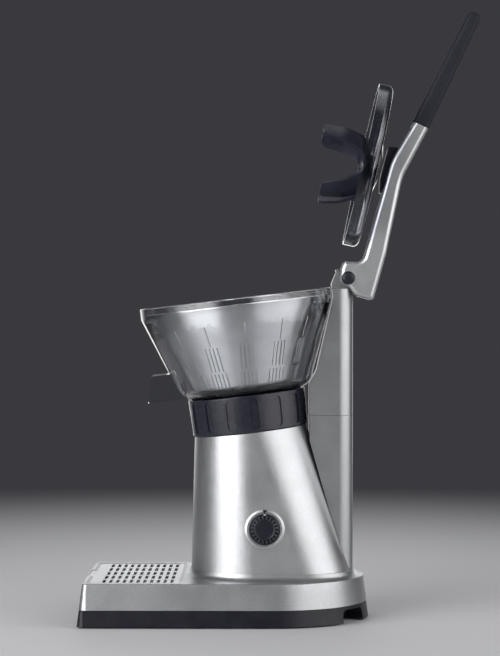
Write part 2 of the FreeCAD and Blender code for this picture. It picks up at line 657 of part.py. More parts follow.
def housing_loft(name, grow, drop, foot_z):
    """The leaning form from a foot with a flat rear up to a tilted circle under the collar."""
    foot = doc.addObject("Sketcher::SketchObject", name + "_foot")
    front = D.housing_foot_front_x - grow
    rear = D.housing_foot_rear_x + grow
    half = D.housing_foot_half_y + grow
    front_radius = D.housing_front_radius + grow
    rear_radius = D.housing_rear_radius + grow
    draw(foot, [(front, -half, front_radius), (rear, -half, rear_radius), (rear, half, rear_radius),
                (front, half, front_radius)])
    place(foot, 0, 0, foot_z)
    top = doc.addObject("Sketcher::SketchObject", name + "_top")
    reach = D.housing_top_radius + grow
    rectangle(top, -reach, reach, -reach, reach, reach - 0.5)
    on_press_axis(top, 0 - drop)
    loft = doc.addObject("Part::Loft", name)
    loft.Sections = [foot, top]
    loft.Solid = True
    loft.Ruled = True
    return loft


def drive_housing():
    outer = housing_loft("housing_outer", 0, D.housing_top_drop, D.base_top_z)
    inner = housing_loft("housing_inner", -D.housing_wall, D.housing_top_drop + D.housing_wall,
                         D.base_top_z - 1)
    mouth = primitive("Cylinder", "housing_mouth", Radius=D.deck_neck_radius + D.column_fit,
                      Height=D.housing_wall * 4)
    on_press_axis(mouth, 0 - D.housing_top_drop - D.housing_wall * 2)
    window = primitive("Cylinder", "housing_dial_hole", Radius=D.bezel_hole_radius, Height=20)
    place(window, D.dial_x, D.dial_surface_y + 12 * cosine(D.dial_lean), D.dial_z - 12 * sine(D.dial_lean),
          ((1, 0, 0), 90 - D.dial_lean))
    slot = primitive("Box", "housing_post_slot", Length=30, Width=D.post_half_y * 2 + 2, Height=62)
    place(slot, D.post_front_x - 1, -D.post_half_y - 1, D.base_top_z - 1)
    bores = new_body("housing_screw_holes", keep=False)
    ring_of(bores, -60, deck_screw_spots(), D.boss_hole_radius, length=40.0)
    on_press_axis(bores)
    tools = fuse_all("housing_voids", [inner, mouth, window, slot, bores])
    combine("Cut", "drive_housing", outer, tools)


# Deck, seal and twist collar


def drive_deck():
    body = new_body("drive_deck")
    wall = D.deck_wall
    top = -D.deck_top_drop
    low = -D.housing_top_drop - D.housing_wall - D.column_fit
    bore = D.tower_bore
    draw(sketch := new_sketch(body, "XZ"), [
        (bore, D.tower_top), (D.tower_radius, D.tower_top), (D.tower_radius, top),
        (D.deck_neck_radius, top, 2.0), (D.deck_neck_radius, low), (D.deck_flange_radius, low),
        (D.deck_flange_radius, low - wall), (D.deck_neck_radius - wall, low - wall),
        (D.deck_neck_radius - wall, top - wall), (D.tower_radius - wall, top - wall),
        (D.tower_radius - wall, D.tower_top - wall), (bore, D.tower_top - wall)])
    revolve(body, sketch)
    holes(body, low, deck_screw_spots(), D.boss_hole_radius, wall * 2)
    hanger = top - wall + 0.4
    ring_of(body, hanger, switch_spots(), 2.2, D.screw_radius * 0.5, hanger - D.switch_top_z - 0.05, down=True)
    on_press_axis(body)


def deck_screw_spots():
    return around(D.deck_screw_radius, (45, 135, 225, 315))


def switch_spots():
    return [(D.switch_x, -2.6), (D.switch_x, 2.6)]


def start_switch():
    """A small switch under the shaft's collar, worked when the fruit is pressed down."""
    body = new_body("start_switch")
    top = D.switch_top_z
    pad(body, rectangle(new_sketch(body, "XY", top), D.switch_x - 9, D.switch_x + 11, -5, 5, 0.6), 11,
        down=True)
    pad(body, rectangle(new_sketch(body, "XY", top - 0.2), D.switch_x + 9, D.switch_x + 10.6, -1.5, 1.5), 1.4)
    holes(body, top + 2, switch_spots(), D.screw_radius * 0.5)
    on_press_axis(body)


def shaft_seal():
    body = new_body("shaft_seal")
    bore = D.shaft_across_flats / cosine(30) / 2 + 0.4
    low = D.tower_top + 0.2
    draw(sketch := new_sketch(body, "XZ"), [(bore, low), (D.seal_radius, low),
                                            (D.seal_radius, low + D.seal_height), (bore + 1, low + D.seal_height)])
    revolve(body, sketch)
    on_press_axis(body)


def twist_collar():
    body = new_body("twist_collar")
    low = -D.collar_height
    slope = tangent(D.collar_draft)
    low_radius = D.collar_radius - D.collar_height * slope
    wall = D.collar_wall
    lip = -D.collar_lip_drop
    lip_low = lip - D.collar_lip
    web = low + D.collar_web
    hub = D.deck_neck_radius + D.column_fit
    draw(sketch := new_sketch(body, "XZ"), [
        (D.collar_radius - wall, 0), (D.collar_radius, 0, 1.2), (low_radius, low, 1.2), (hub, low),
        (hub, web), (low_radius - wall, web), (D.collar_radius - wall, lip_low),
        (D.collar_tab_radius, lip_low), (D.collar_tab_radius, lip), (D.collar_radius - wall, lip)])
    revolve(body, sketch)
    gap = rectangle(new_sketch(body, "XY", lip + 0.1, (UP, 0 - D.flute_phase)), D.collar_tab_radius - 2, D.bayonet_reach + 1.2,
                    -D.bayonet_reach * sine(D.bayonet_half_angle + 2),
                    D.bayonet_reach * sine(D.bayonet_half_angle + 2))
    polar(body, [cut(body, gap, D.collar_lip + 0.2)], D.bayonet_count)
    # Finger flutes sunk into the leaning outer wall
    depth = D.collar_radius - D.flute_depth
    face = new_sketch(body, "XZ", depth, ((1, 0, 0), D.collar_draft))
    half = D.flute_width / 2
    rectangle(face, -half, half, low + D.flute_end_margin, -D.flute_end_margin, half * 0.95)
    polar(body, [cut(body, face, 10, ahead=True)], D.flute_count)
    on_press_axis(body, 0, D.flute_phase)


# Juice bowl, strainer and reamer


def juice_bowl():
    body = new_body("juice_bowl")
    wall = D.bowl_wall
    floor = D.bowl_floor_z
    lip_z = D.bowl_rim_z - D.bowl_lip_height
    slope = (D.bowl_rim_radius - D.bowl_heel_corner) / (lip_z - floor)
    skew = wall * D.bowl_wall_skew
    inner_floor = D.bowl_heel_corner + slope * wall - skew
    inner_rim = D.bowl_rim_radius - wall
    ledge = D.strainer_flange_z - D.strainer_sheet - D.rest_gap
    ledge_radius = D.bowl_ledge_radius
    outer = draw(new_sketch(body, "XZ"), [
        (0, floor), (D.bowl_heel_corner, floor, D.bowl_heel_radius + 8), (D.bowl_rim_radius, lip_z, 6),
        (D.bowl_rim_radius, D.bowl_rim_z, 1.2), (0, D.bowl_rim_z)])
    revolve(body, outer)
    half = D.spout_half_y
    chute = draw(new_sketch(body, "XZ"), [
        (-D.spout_root_x, D.spout_floor_root_z), (-D.spout_tip_x, D.spout_floor_tip_z),
        (-D.spout_tip_top_x, D.spout_top_z), (-D.spout_root_x, D.spout_top_z)])
    pad(body, chute, half * 2, both=True)
    cavity = draw(new_sketch(body, "XZ"), [
        (0, floor + wall), (inner_floor, floor + wall, D.bowl_heel_radius + 5),
        (ledge_radius, floor + (ledge_radius + skew - D.bowl_heel_corner) / slope),
        (ledge_radius, ledge), (inner_rim, ledge), (inner_rim, D.bowl_rim_z + 1), (0, D.bowl_rim_z + 1)])
    groove(body, cavity)
    slant = D.spout_wall
    run = draw(new_sketch(body, "XZ"), [
        (-D.spout_root_x + 8, D.spout_floor_root_z + slant), (-D.spout_tip_x - 6, D.spout_floor_tip_z + slant),
        (-D.spout_tip_x - 6, D.spout_top_z + 6), (-D.spout_window_out, D.spout_top_z + 6),
        (-D.spout_window_in, D.spout_top_z - 4), (-D.spout_root_x + 8, D.spout_top_z - 4)])
    cut(body, run, (half - D.spout_wall) * 2, both=True)
    stem = new_sketch(body, "XY", floor)
    circle(stem, 0, 0, D.chimney_radius)
    pad(body, stem, D.chimney_top - floor)
    bore = new_sketch(body, "XY", D.chimney_top)
    circle(bore, 0, 0, D.chimney_bore)
    cut(body, bore, D.chimney_top + 5)
    ring_of(body, floor + 0.2, [(0, 0)], D.bowl_foot_radius, D.bowl_foot_radius - D.bowl_foot_wall,
            D.bowl_foot_drop, down=True)
    reach = D.bayonet_reach * sine(D.bayonet_half_angle)
    lug = rectangle(new_sketch(body, "XY", -D.bayonet_drop + 1), D.bowl_foot_radius - 1, D.bayonet_reach,
                    -reach, reach)
    polar(body, [pad(body, lug, D.bayonet_height, down=True)], D.bayonet_count)
    on_press_axis(body)


def strainer():
    body = new_body("strainer")
    sheet_mm = D.strainer_sheet
    floor = D.strainer_floor_z
    slope = (D.strainer_top_radius - D.strainer_floor_radius) / (D.strainer_top_z - floor)
    flange = D.strainer_flange_z - sheet_mm
    outer_top = D.strainer_floor_radius + slope * (flange - floor)
    inner_floor = D.strainer_floor_radius + slope * sheet_mm - sheet_mm * D.bowl_wall_skew
    inner_top = inner_floor + slope * (D.strainer_flange_z - floor - sheet_mm)
    collar = D.strainer_collar_radius
    draw(sketch := new_sketch(body, "XZ"), [
        (collar - sheet_mm, floor), (D.strainer_floor_radius, floor, 7), (outer_top, flange),
        (D.strainer_flange_radius, flange), (D.strainer_flange_radius, D.strainer_flange_z),
        (inner_top, D.strainer_flange_z), (inner_floor, floor + sheet_mm, 6), (collar, floor + sheet_mm),
        (collar, D.strainer_collar_top), (collar - sheet_mm, D.strainer_collar_top)])
    revolve(body, sketch)
    slits = new_sketch(body, "XZ", D.strainer_floor_radius * 0.75)
    half = D.slit_width / 2
    rectangle(slits, -half, half, D.slit_long_low, D.slit_long_high)
    for count, pitch, low, high in ((4, D.slit_mid_pitch, D.slit_mid_low, D.slit_mid_high),
                                    (5, D.slit_low_pitch, D.slit_low_low, D.slit_low_high)):
        for i in range(count):
            x = pitch * (i - (count - 1) / 2)
            rectangle(slits, x - half, x + half, low, high)
    polar(body, [cut(body, slits, 80, ahead=True)], D.slit_groups)
    on_press_axis(body, 0, D.slit_phase)


def reamer():
    body = new_body("reamer")
    tip = D.reamer_tip_z
    base = D.reamer_base_z
    wall = D.reamer_wall
    core = D.reamer_radius * D.reamer_core
    skirt = D.reamer_skirt_radius
    draw(sketch := new_sketch(body, "XZ"), [
        (0, tip - 1.5), (8, tip - 3, 5), (core * 0.8, tip - 20, 22), (core, base + wall),
        (D.reamer_radius, base + wall, 1), (D.reamer_radius, base), (skirt, base),
        (skirt, D.reamer_skirt_low_z), (skirt - wall, D.reamer_skirt_low_z), (skirt - wall, base + wall),
        (core * 0.62, tip - 22, 16), (0, tip - 10)])
    revolve(body, sketch)
    blade = draw(new_sketch(body, "XZ"), [
        (3, tip - 3), (4, tip, 2), (D.reamer_radius * 0.55, tip - 7, 10), (D.reamer_radius * 0.9, tip - 24, 24),
        (D.reamer_radius - 0.6, base + wall / 2), (core - 2, base + wall / 2), (core * 0.8 - 2, tip - 22)])
    polar(body, [pad(body, blade, D.reamer_rib_width, both=True)], D.reamer_rib_count)
    hub = new_sketch(body, "XY", D.chimney_top + 3)
    circle(hub, 0, 0, D.reamer_hub_radius)
    pad(body, hub, tip - 9 - D.chimney_top - 3)
    socket = hexagon(new_sketch(body, "XY", D.chimney_top + 2), D.shaft_across_flats + D.shaft_gap * 2)
    cut(body, socket, D.shaft_top - D.chimney_top - 1, ahead=True)
    on_press_axis(body)


# Drive train


def tooth_flank(teeth, module, side, centre_angle):
    """Root, middle and tip points of one involute flank, side -1 before the tooth and +1 after it."""
    pitch_radius = module * teeth / 2
    pressure = math.radians(SIZES["pressure_angle"])
    base_radius = pitch_radius * math.cos(pressure)
    low = max(base_radius, pitch_radius - 1.25 * module)
    high = pitch_radius + 0.85 * module
    half_pitch = math.pi / (2 * teeth) - SIZES["gear_backlash"] / (4 * pitch_radius)
    points = []
    for radius in (low, (low + high) / 2, high):
        local = math.acos(min(1.0, base_radius / radius))
        half = half_pitch + math.tan(pressure) - pressure - (math.tan(local) - local)
        angle = centre_angle + side * half
        points.append(V(radius * math.cos(angle), radius * math.sin(angle), 0))
    return points


def gear_disc(teeth, phase, low, width, x=0.0, y=0.0):
    """A spur gear's toothed disc as a solid, its first tooth at phase degrees."""
    module = SIZES["gear_module"]
    root_radius = module * teeth / 2 - 1.25 * module
    edges = []
    count = int(teeth)
    flanks = []
    for i in range(count):
        centre = math.radians(phase) + 2 * math.pi * i / count
        rising = tooth_flank(teeth, module, -1, centre)
        falling = tooth_flank(teeth, module, 1, centre)[::-1]
        flanks.append((rising, falling))
    for i, (rising, falling) in enumerate(flanks):
        next_rising = flanks[(i + 1) % count][0]
        edges.append(Part.Arc(*rising).toShape())
        edges.append(Part.LineSegment(rising[2], falling[0]).toShape())
        edges.append(Part.Arc(*falling).toShape())
        foot = [falling[2]]
        if falling[2].Length > root_radius + 0.01:
            foot.append(falling[2] * (root_radius / falling[2].Length))
            foot.append(next_rising[0] * (root_radius / next_rising[0].Length))
        foot.append(next_rising[0])
        edges += [Part.LineSegment(a, b).toShape() for a, b in zip(foot, foot[1:])]
    face = Part.Face(Part.Wire(edges))
    disc = face.extrude(V(0, 0, width))
    disc.translate(V(x, y, low))
    return disc


def shaped(name, shape):
    """A sub-part made with Part's own functions, placed on the press axis."""
    item = doc.addObject("Part::Feature", name)
    item.Label = name
    item.Shape = shape
    pieces.append(item)
    return on_press_axis(item)


def hex_prism(across, low, length):
    reach = across / math.cos(math.radians(30)) / 2
    points = [V(reach * math.cos(math.radians(60 * i)), reach * math.sin(math.radians(60 * i)), low)
              for i in range(7)]
    return Part.Face(Part.makePolygon(points)).extrude(V(0, 0, length))


def rod(radius, low, length, x=0.0, y=0.0):
    return Part.makeCylinder(radius, length, V(x, y, low), V(0, 0, 1))


def axle_offset():
    return SIZES["gear_module"] * (SIZES["pinion_teeth"] + SIZES["idler_wheel_teeth"]) / 2


def output_gear():
    size = SIZES
    low = size["output_face_z"] - size["output_face_width"]
    disc = gear_disc(size["output_teeth"], 90, low, size["output_face_width"])
    hub = rod(size["output_hub_radius"], low, size["output_hub_top"] - low)
    bore = hex_prism(size["shaft_across_flats"] + 2 * size["shaft_gap"], low - 1, 30)
    shaped("output_gear", disc.fuse(hub).cut(bore))


def idler_gear():
    size = SIZES
    y = axle_offset()
    wheel_low = size["wheel_face_z"] - size["wheel_face_width"]
    pinion_low = size["wheel_face_z"] - 0.5
    wheel = gear_disc(size["idler_wheel_teeth"], 270 + 180 / size["idler_wheel_teeth"], wheel_low,
                      size["wheel_face_width"], y=y)
    pinion = gear_disc(size["idler_pinion_teeth"], 270 + 180 / size["idler_pinion_teeth"], pinion_low,
                       size["output_face_z"] + 1 - pinion_low, y=y)
    bore = rod(size["idler_axle_radius"] + size["idler_bore_gap"], wheel_low - 1, 40, y=y)
    shaped("idler_gear", wheel.fuse(pinion).cut(bore))


def rotor():
    size = SIZES
    pinion_low = size["wheel_face_z"] - size["wheel_face_width"] - 1
    pinion = gear_disc(size["pinion_teeth"], 90, pinion_low, size["wheel_face_width"] + 1.5)
    shaft_low = size["motor_top_z"] - size["motor_length"] + 3
    shaft = rod(size["rotor_shaft_radius"], shaft_low, pinion_low - shaft_low + 1)
    core_low = size["motor_top_z"] - 12 - size["rotor_length"]
    core = rod(size["rotor_radius"], core_low, size["rotor_length"])
    commutator = rod(9.0, core_low - 8, 7.0)
    shaped("motor_rotor", core.fuse([shaft, pinion, commutator]))


def output_shaft():
    size = SIZES
    length = size["shaft_top"] - size["shaft_low"]
    bar = hex_prism(size["shaft_across_flats"], size["shaft_low"], length)
    collar = rod(size["shaft_collar_radius"], size["shaft_collar_z"], 2.4)
    shaped("output_shaft", bar.fuse(collar))


def idler_axle():
    size = SIZES
    shaped("idler_axle", rod(size["idler_axle_radius"], size["box_low_z"] + 0.6, 31.4, y=axle_offset()))


def gearbox_outline(sketch, grow):
    reach = D.box_radius + grow
    far = D.box_far_y + grow
    return rectangle(sketch, -reach, reach, -reach, far, reach - 1.5)


def ears():
    return [(side * D.ear_x, y) for side in (-1, 1) for y in (D.ear_low_y, D.ear_high_y)]


def damper_spots():
    return around(20, (0, 180))


def gearbox_base():
    body = new_body("gearbox_base")
    pad(body, gearbox_outline(new_sketch(body, "XY", D.box_low_z), 0), D.box_split_z - D.box_low_z)
    cut(body, gearbox_outline(new_sketch(body, "XY", D.box_split_z), -D.box_wall),
        D.box_split_z - D.box_low_z - D.box_wall)
    ring_of(body, D.box_split_z, ears(), D.ear_radius, D.boss_hole_radius, 6.0, down=True)
    holes(body, D.box_split_z, [(0, 0)], D.motor_bush_radius)
    holes(body, D.box_split_z, [(0, D.axle_y)], D.idler_axle_radius + 0.01)
    holes(body, D.box_split_z, damper_spots(), D.boss_hole_radius)
    on_press_axis(body)


def gearbox_cover():
    body = new_body("gearbox_cover")
    top = -D.housing_top_drop - D.housing_wall - D.deck_wall - 0.4
    plate = new_sketch(body, "XY", top)
    circle(plate, 0, 0, D.cover_plate_radius)
    pad(body, plate, D.box_wall, down=True)
    low = D.box_split_z + 0.2
    pad(body, gearbox_outline(new_sketch(body, "XY", top), 0), top - low, down=True)
    cut(body, gearbox_outline(new_sketch(body, "XY", low), -D.box_wall), top - D.box_wall - low, ahead=True)
    holes(body, top, [(0, 0)], D.output_hub_radius + D.bush_wall)
    holes(body, top, deck_screw_spots(), D.boss_hole_radius)
    ring_of(body, low, ears(), D.ear_radius, D.boss_hole_radius, 6.0)
    on_press_axis(body)


def bush(name, radius, inner, low, length):
    body = new_body(name)
    ring_of(body, low, [(0, 0)], radius, inner, length)
    on_press_axis(body)


def motor():
    top = D.motor_top_z
    wall = D.motor_wall
    low = top - D.motor_length
    body = new_body("motor_case")
    draw(sketch := new_sketch(body, "XZ"), [
        (D.motor_bush_radius, top), (D.motor_radius, top, 2), (D.motor_radius, low + 6),
        (D.motor_radius - wall, low + 6), (D.motor_radius - wall, top - wall), (D.motor_bush_radius, top - wall)])
    revolve(body, sketch)
    holes(body, top + 1, damper_spots(), D.boss_hole_radius, wall + 2)
    on_press_axis(body)
    cap = new_body("motor_end_cap")
    draw(sketch := new_sketch(cap, "XZ"), [
        (D.rotor_shaft_radius + 0.05, low), (D.motor_radius, low, 2), (D.motor_radius, low + 5.8),
        (D.motor_radius - wall - 1, low + 5.8), (D.motor_radius - wall - 1, low + wall), (6, low + wall),
        (6, low + 3.4), (D.rotor_shaft_radius + 0.05, low + 3.4)])
    revolve(cap, sketch)
    on_press_axis(cap)
    field = new_body("motor_field")
    ring_of(field, top - 12, [(0, 0)], D.motor_radius - wall - 0.1, D.rotor_radius + D.rotor_gap,
            D.rotor_length, down=True)
    on_press_axis(field)


def small_pieces():
    """Bushes, dampers and screws of the drive."""
    bush("output_bush", D.output_hub_radius + D.bush_wall - 0.02, D.output_hub_radius + 0.05, -47.7, 2.3)
    bush("motor_bush", D.motor_bush_radius - 0.02, D.rotor_shaft_radius + 0.05, D.motor_top_z - D.motor_wall,
         D.motor_wall)
    dampers = new_body("motor_dampers")
    ring_of(dampers, D.motor_top_z + 0.05, damper_spots(), 4.4, D.boss_hole_radius,
            D.box_low_z - D.motor_top_z - 0.1)
    on_press_axis(dampers)
    screws("motor_screws", damper_spots(), D.box_low_z + D.box_wall + 0.05, 7.6, on_axis=True)
    screws("gearbox_screws", ears(), D.box_split_z - 6.05, 11.0, head_up=False, on_axis=True)
    plate_low = -D.housing_top_drop - D.housing_wall - D.deck_wall - 0.45 - D.box_wall
    screws("deck_screws", deck_screw_spots(), plate_low, 8.0, head_up=False, on_axis=True)
    screws("base_screws", base_boss_spots(), D.underbody_low_z + D.screw_well - 0.05, 22.0, head_up=False)
    screws("board_screws", board_spots(), D.board_z + D.board_thickness + 0.05, 6.0)
    screws("post_screws", post_screw_spots(), D.post_flange_z - D.post_flange_thickness - 0.05, 5.6,
           head_up=False)


# Column and hinge


def upright(name, shrink, low, high):
    """The column's plan, drawn in by shrink, as a plain upright between two heights."""
    body = new_body(name, keep=False)
    front = D.column_front_x + shrink
    rear = D.column_rear_x - shrink
    half = D.column_half_y - shrink
    nose = D.column_nose_half_y - shrink
    flank = D.column_front_x + D.column_nose_length
    rounding = D.column_corner_radius - shrink
    plan = draw(new_sketch(body, "XY", low), [
        (front, -nose, 3), (flank, -half, 10), (rear, -half, rounding), (rear, half, rounding),
        (flank, half, 10), (front, nose, 3)])
    pad(body, plan, high - low)
    return body


def side_form(name, corners, half_width, keep=False):
    """A side outline in X and Z, thickened both ways along Y."""
    body = new_body(name, keep)
    pad(body, draw(new_sketch(body, "XZ"), corners), half_width * 2, both=True)
    return body


def column_lower():
    low = D.base_top_z + 0.2
    high = D.column_split_z - 0.3
    wall = D.column_wall
    tube = combine("Cut", "column_tube", upright("column_lower_form", 0, low, high),
                   upright("column_lower_hollow", wall, low - 1, high + 1), keep=False)
    room = housing_loft("column_room", D.column_fit, D.housing_top_drop - D.column_fit, D.base_top_z)
    combine("Cut", "column_lower", tube, room)


def column_side(shrink):
    """The upper column's side outline: upright rear, and a front that stands clear of the bowl."""
    front = D.column_front_x - 1 + shrink
    return [
        (front, D.column_split_z - shrink), (D.column_rear_x - shrink, D.column_split_z - shrink),
        (D.column_rear_x - shrink, D.column_shoulder_z - shrink, 3),
        (D.column_shoulder_x - shrink, D.column_top_z - shrink, 3),
        (D.column_crown_x + shrink, D.column_top_z - shrink, 1),
        (D.column_slope_high_x + shrink, D.column_slope_high_z, 12),
        (D.column_slope_low_x + shrink, D.column_slope_low_z, 20),
        (front, D.column_slope_foot_z, 12)]


def column_cover():
    low = D.column_split_z
    top = D.column_top_z
    wall = D.column_wall
    form = combine("Common", "cover_form", upright("cover_plan", 0, low, top),
                   side_form("cover_side", column_side(0), D.column_half_y), keep=False)
    room = combine("Common", "cover_room", upright("cover_plan_hollow", wall, low - wall, top - wall),
                   side_form("cover_side_hollow", column_side(wall), D.column_half_y), keep=False)
    slot = primitive("Box", "cover_slot", Length=D.post_thickness + 0.6, Width=D.lug_half_y * 2 + 0.6,
                     Height=24)
    place(slot, D.post_front_x - 0.3, -D.lug_half_y - 0.3, top - 14)
    combine("Cut", "column_cover", form, fuse_all("cover_voids", [room, slot]))


def post_screw_spots():
    return [(x, y * side) for x, y in ((107, 12), (125.6, 22)) for side in (-1, 1)]


def column_post():
    """The steel tube inside the column, with a plate welded on that is screwed under the base cover."""
    outer = new_body("column_post")
    low = D.post_flange_z - D.post_flange_thickness
    front = D.post_front_x
    rear = front + D.post_thickness
    half = D.post_half_y
    wall = D.post_wall
    plan = new_sketch(outer, "XY", low)
    rectangle(plan, front, rear, -half, half)
    rectangle(plan, front + wall, rear - wall, -half + wall, half - wall)
    pad(outer, plan, D.lug_low_z - low - 0.2)
    flange = new_sketch(outer, "XY", low)
    rectangle(flange, front - 20, rear + 5, -half - 10, half + 10, 3)
    pad(outer, flange, D.post_flange_thickness)
    holes(outer, low - 1, post_screw_spots(), D.boss_hole_radius, 10, ahead=True)
    cross = new_sketch(outer, "XZ", -half - 1)
    circle(cross, front + D.post_thickness / 2, D.lug_low_z - 9, 2.05)
    cut(outer, cross, ahead=True)


def post_pin():
    body = new_body("post_pin")
    circle(sketch := new_sketch(body, "XZ"), D.post_front_x + D.post_thickness / 2, D.lug_low_z - 9, 2)
    pad(body, sketch, D.post_half_y * 2, both=True)


def hinge_block():
    low = D.lug_low_z
    seat = D.column_top_z + 0.3
    front = D.post_front_x
    rear = front + D.post_thickness
    body = side_form("hinge_block", [
        (front, low), (rear, low), (rear, seat), (D.lug_rear_x - 6, seat),
        (D.lug_rear_x, seat + 5, 8), (D.lug_rear_x, D.hinge_z + 6, 8), (D.hinge_x + 2, D.hinge_z + 12, 8),
        (D.lug_brow_x, D.lug_brow_z, 5), (D.lug_front_x, D.lug_front_z, 8), (D.lug_front_x + 0.5, seat),
        (front, seat)], D.lug_half_y, keep=True)
    stop = circle(new_sketch(body, "XZ"), D.lug_brow_x + 1.5, D.lug_brow_z + 1.9, 1.7)
    pad(body, stop, D.lug_half_y * 2 - 1, both=True)
    tenon = D.post_wall + D.rest_gap
    rectangle(plug := new_sketch(body, "XY", low + 1), front + tenon, rear - tenon, -D.post_half_y + tenon,
              D.post_half_y - tenon)
    pad(body, plug, 19, down=True)
    bore = new_sketch(body, "XZ", -D.arm_half_y)
    circle(bore, D.hinge_x, D.hinge_z, D.pin_radius + 0.01)
    circle(bore, front + D.post_thickness / 2, low - 9, 2.05)
    cut(body, bore, ahead=True)


def across_hinge(name, radius, inner, half_from, half_to):
    """Turned pieces on the hinge line, mirrored on both sides of the middle plane."""
    body = new_body(name)
    for side in (1, -1):
        sketch = new_sketch(body, "XZ", half_from * side)
        circle(sketch, 0, 0, radius)
        if inner:
            circle(sketch, 0, 0, inner)
        pad(body, sketch, half_to - half_from, down=side < 0)
    place(body, D.hinge_x, 0, D.hinge_z)
    return body


def hinge_rings():
    inner = D.pin_radius + D.pin_gap
    cheek = D.arm_half_y - D.arm_cheek
    across_hinge("hinge_bushes", D.bush_radius, inner, cheek, D.arm_half_y)
    across_hinge("hinge_washers", D.bush_flange_radius, inner, D.lug_half_y + 0.1, cheek - 0.1)


def hinge_pin():
    body = new_body("hinge_pin")
    sketch = new_sketch(body, "XZ")
    circle(sketch, 0, 0, D.pin_radius)
    pad(body, sketch, D.arm_half_y * 2 + 0.6, both=True)
    place(body, D.hinge_x, 0, D.hinge_z)


def hinge_caps():
    body = across_hinge("hinge_caps", D.cap_radius, None, D.arm_half_y + 0.3, D.arm_half_y + D.cap_height)
    outer = number(D.arm_half_y + D.cap_height)
    round_edges(body, D.cap_height * 0.7, lambda edge: abs(abs(edge.CenterOfMass.y) - outer) < 0.01)


# Lever arm


def arm_shell():
    half = D.arm_half_y
    body = side_form("arm_shell", [
        corner("arm_nose", 3), corner("arm_throat", 9), corner("arm_elbow_front", 60),
        corner("arm_end_front"), corner("arm_end_rear"), corner("arm_elbow_rear", 60),
        corner("arm_back", 60), corner("arm_heel", 4), corner("arm_sole", 8), corner("arm_step", 3),
        corner("arm_chin", 4), corner("arm_cheek_low", 4), corner("arm_cheek_high", 6)], half, keep=True)
    edge_y = number(half)
    rear = number(corner("arm_back")[0])

    def on_back(edge):
        middle = edge.CenterOfMass
        return abs(abs(middle.y) - edge_y) < 0.01 and middle.x > back_line(middle.z) - 1.5

    round_edges(body, D.arm_edge_radius, on_back)
    spine = D.arm_spine
    channel = draw(new_sketch(body, "XZ"), [
        (100, 330), (142, 330), (142, 349.5), corner("arm_heel", 3, -2.2, 4.6), corner("arm_back", 60, -3.2, 0.5),
        corner("arm_elbow_rear", 60, -3.1, 1.2), corner("arm_end_rear", 0, -4.9, -1.9),
        corner("arm_end_front", 0, -12, 2.2), (140, 540), (100, 420)])
    cut(body, channel, (half - D.arm_cheek) * 2, both=True)
    cut(body, tang_outline(new_sketch(body, "XZ"), 0.3), (D.tang_half_y + 0.3) * 2, both=True)
    bore = new_sketch(body, "XZ", -half - 1)
    circle(bore, D.hinge_x, D.hinge_z, D.bush_radius + 0.01)
    cut(body, bore, ahead=True)


def tang_outline(sketch, grow):
    """The side outline of the steel bar in the arm and the grip, with room round it."""
    side = grow * 0.9
    end = grow * 0.44
    return draw(sketch, [
        corner("tang_low_front", 0, -side - end, end - side), corner("tang_low_rear", 0, side - end, -side - end),
        corner("tang_high_rear", 0, side + end, side - end), corner("tang_high_front", 0, end - side, side + end)])


def grip_tang():
    body = new_body("grip_tang")
    pad(body, tang_outline(new_sketch(body, "XZ"), 0.0), D.tang_half_y * 2, both=True)


def back_line(z):
    """X of the arm's rear outline at a height."""
    low, mid = SPOTS["arm_back"], SPOTS["arm_elbow_rear"]
    end, heel = SPOTS["arm_end_rear"], SPOTS["arm_heel"]
    for (x0, z0), (x1, z1) in ((heel, low), (low, mid), (mid, end)):
        if z <= z1:
            return x0 + (x1 - x0) * (z - z0) / (z1 - z0)
    return end[0]


def arm_front_cover():
    half = D.arm_half_y - D.arm_cheek - 0.25
    body = side_form("arm_front_cover", [
        (150.6, 389.6), corner("arm_elbow_front", 59, 0.9, 0.3), corner("arm_end_front", 0, -1.5, -5.2),
        corner("arm_end_front", 0, 1.0, -6.5), corner("arm_elbow_front", 57, 3.5, 0.0), (153.2, 388.6)],
        half, keep=True)
    bracket_holes(body)


def grip():
    body = side_form("grip", [
        corner("grip_base_front"), corner("grip_base_rear"), corner("grip_tip_rear", 6),
        corner("grip_tip_front", 3)], D.grip_half_y, keep=True)
    side = number(D.grip_half_y)
    low = number(corner("grip_base_front")[1]) + 4

    def along(edge):
        middle = edge.CenterOfMass
        return abs(abs(middle.y) - side) < 0.01 and middle.z > low

    round_edges(body, D.grip_edge_radius, along)
    cut(body, tang_outline(new_sketch(body, "XZ"), 0.3), (D.tang_half_y + 0.3) * 2, both=True)


def bracket_spots():
    return [(x, y) for x in (-9, 9) for y in (-8, 8)]


def bracket_holes(body):
    """Screw holes square to the arm's front."""
    sketch = new_sketch(body, "XY", D.bracket_screw_z, (LEAN, D.bracket_lean))
    bind(sketch, ".AttachmentOffset.Base.x", D.bracket_screw_x)
    for x, y in bracket_spots():
        circle(sketch, x, y, D.boss_hole_radius)
    cut(body, sketch, 30, both=True)


def bracket_screws():
    body = screws("bracket_screws", bracket_spots(), -4.0, 8.6, head_up=False)
    place(body, D.bracket_screw_x, 0, D.bracket_screw_z, (LEAN, D.bracket_lean))


def lid_bracket():
    body = side_form("lid_bracket", [
        corner("bracket_low"), corner("bracket_foot"), corner("bracket_top"), corner("bracket_brow", 3),
        corner("bracket_face_high", 10), corner("bracket_face_low", 10)], D.bracket_half_y, keep=True)
    behind = draw(new_sketch(body, "XZ"), [
        (150.3, 389.6), corner("arm_elbow_front", 59, 0.6, 0.4), corner("arm_end_front", 0, -1.8, -5.0),
        (230, 500), (180, 380)])
    cut(body, behind, 60, both=True)
    bracket_holes(body)


# Clear lid and press cup, drawn about the lid's own axis with the cup along +Z


def lid_tilt():
    return 180 + D.press_tilt - D.closing_angle


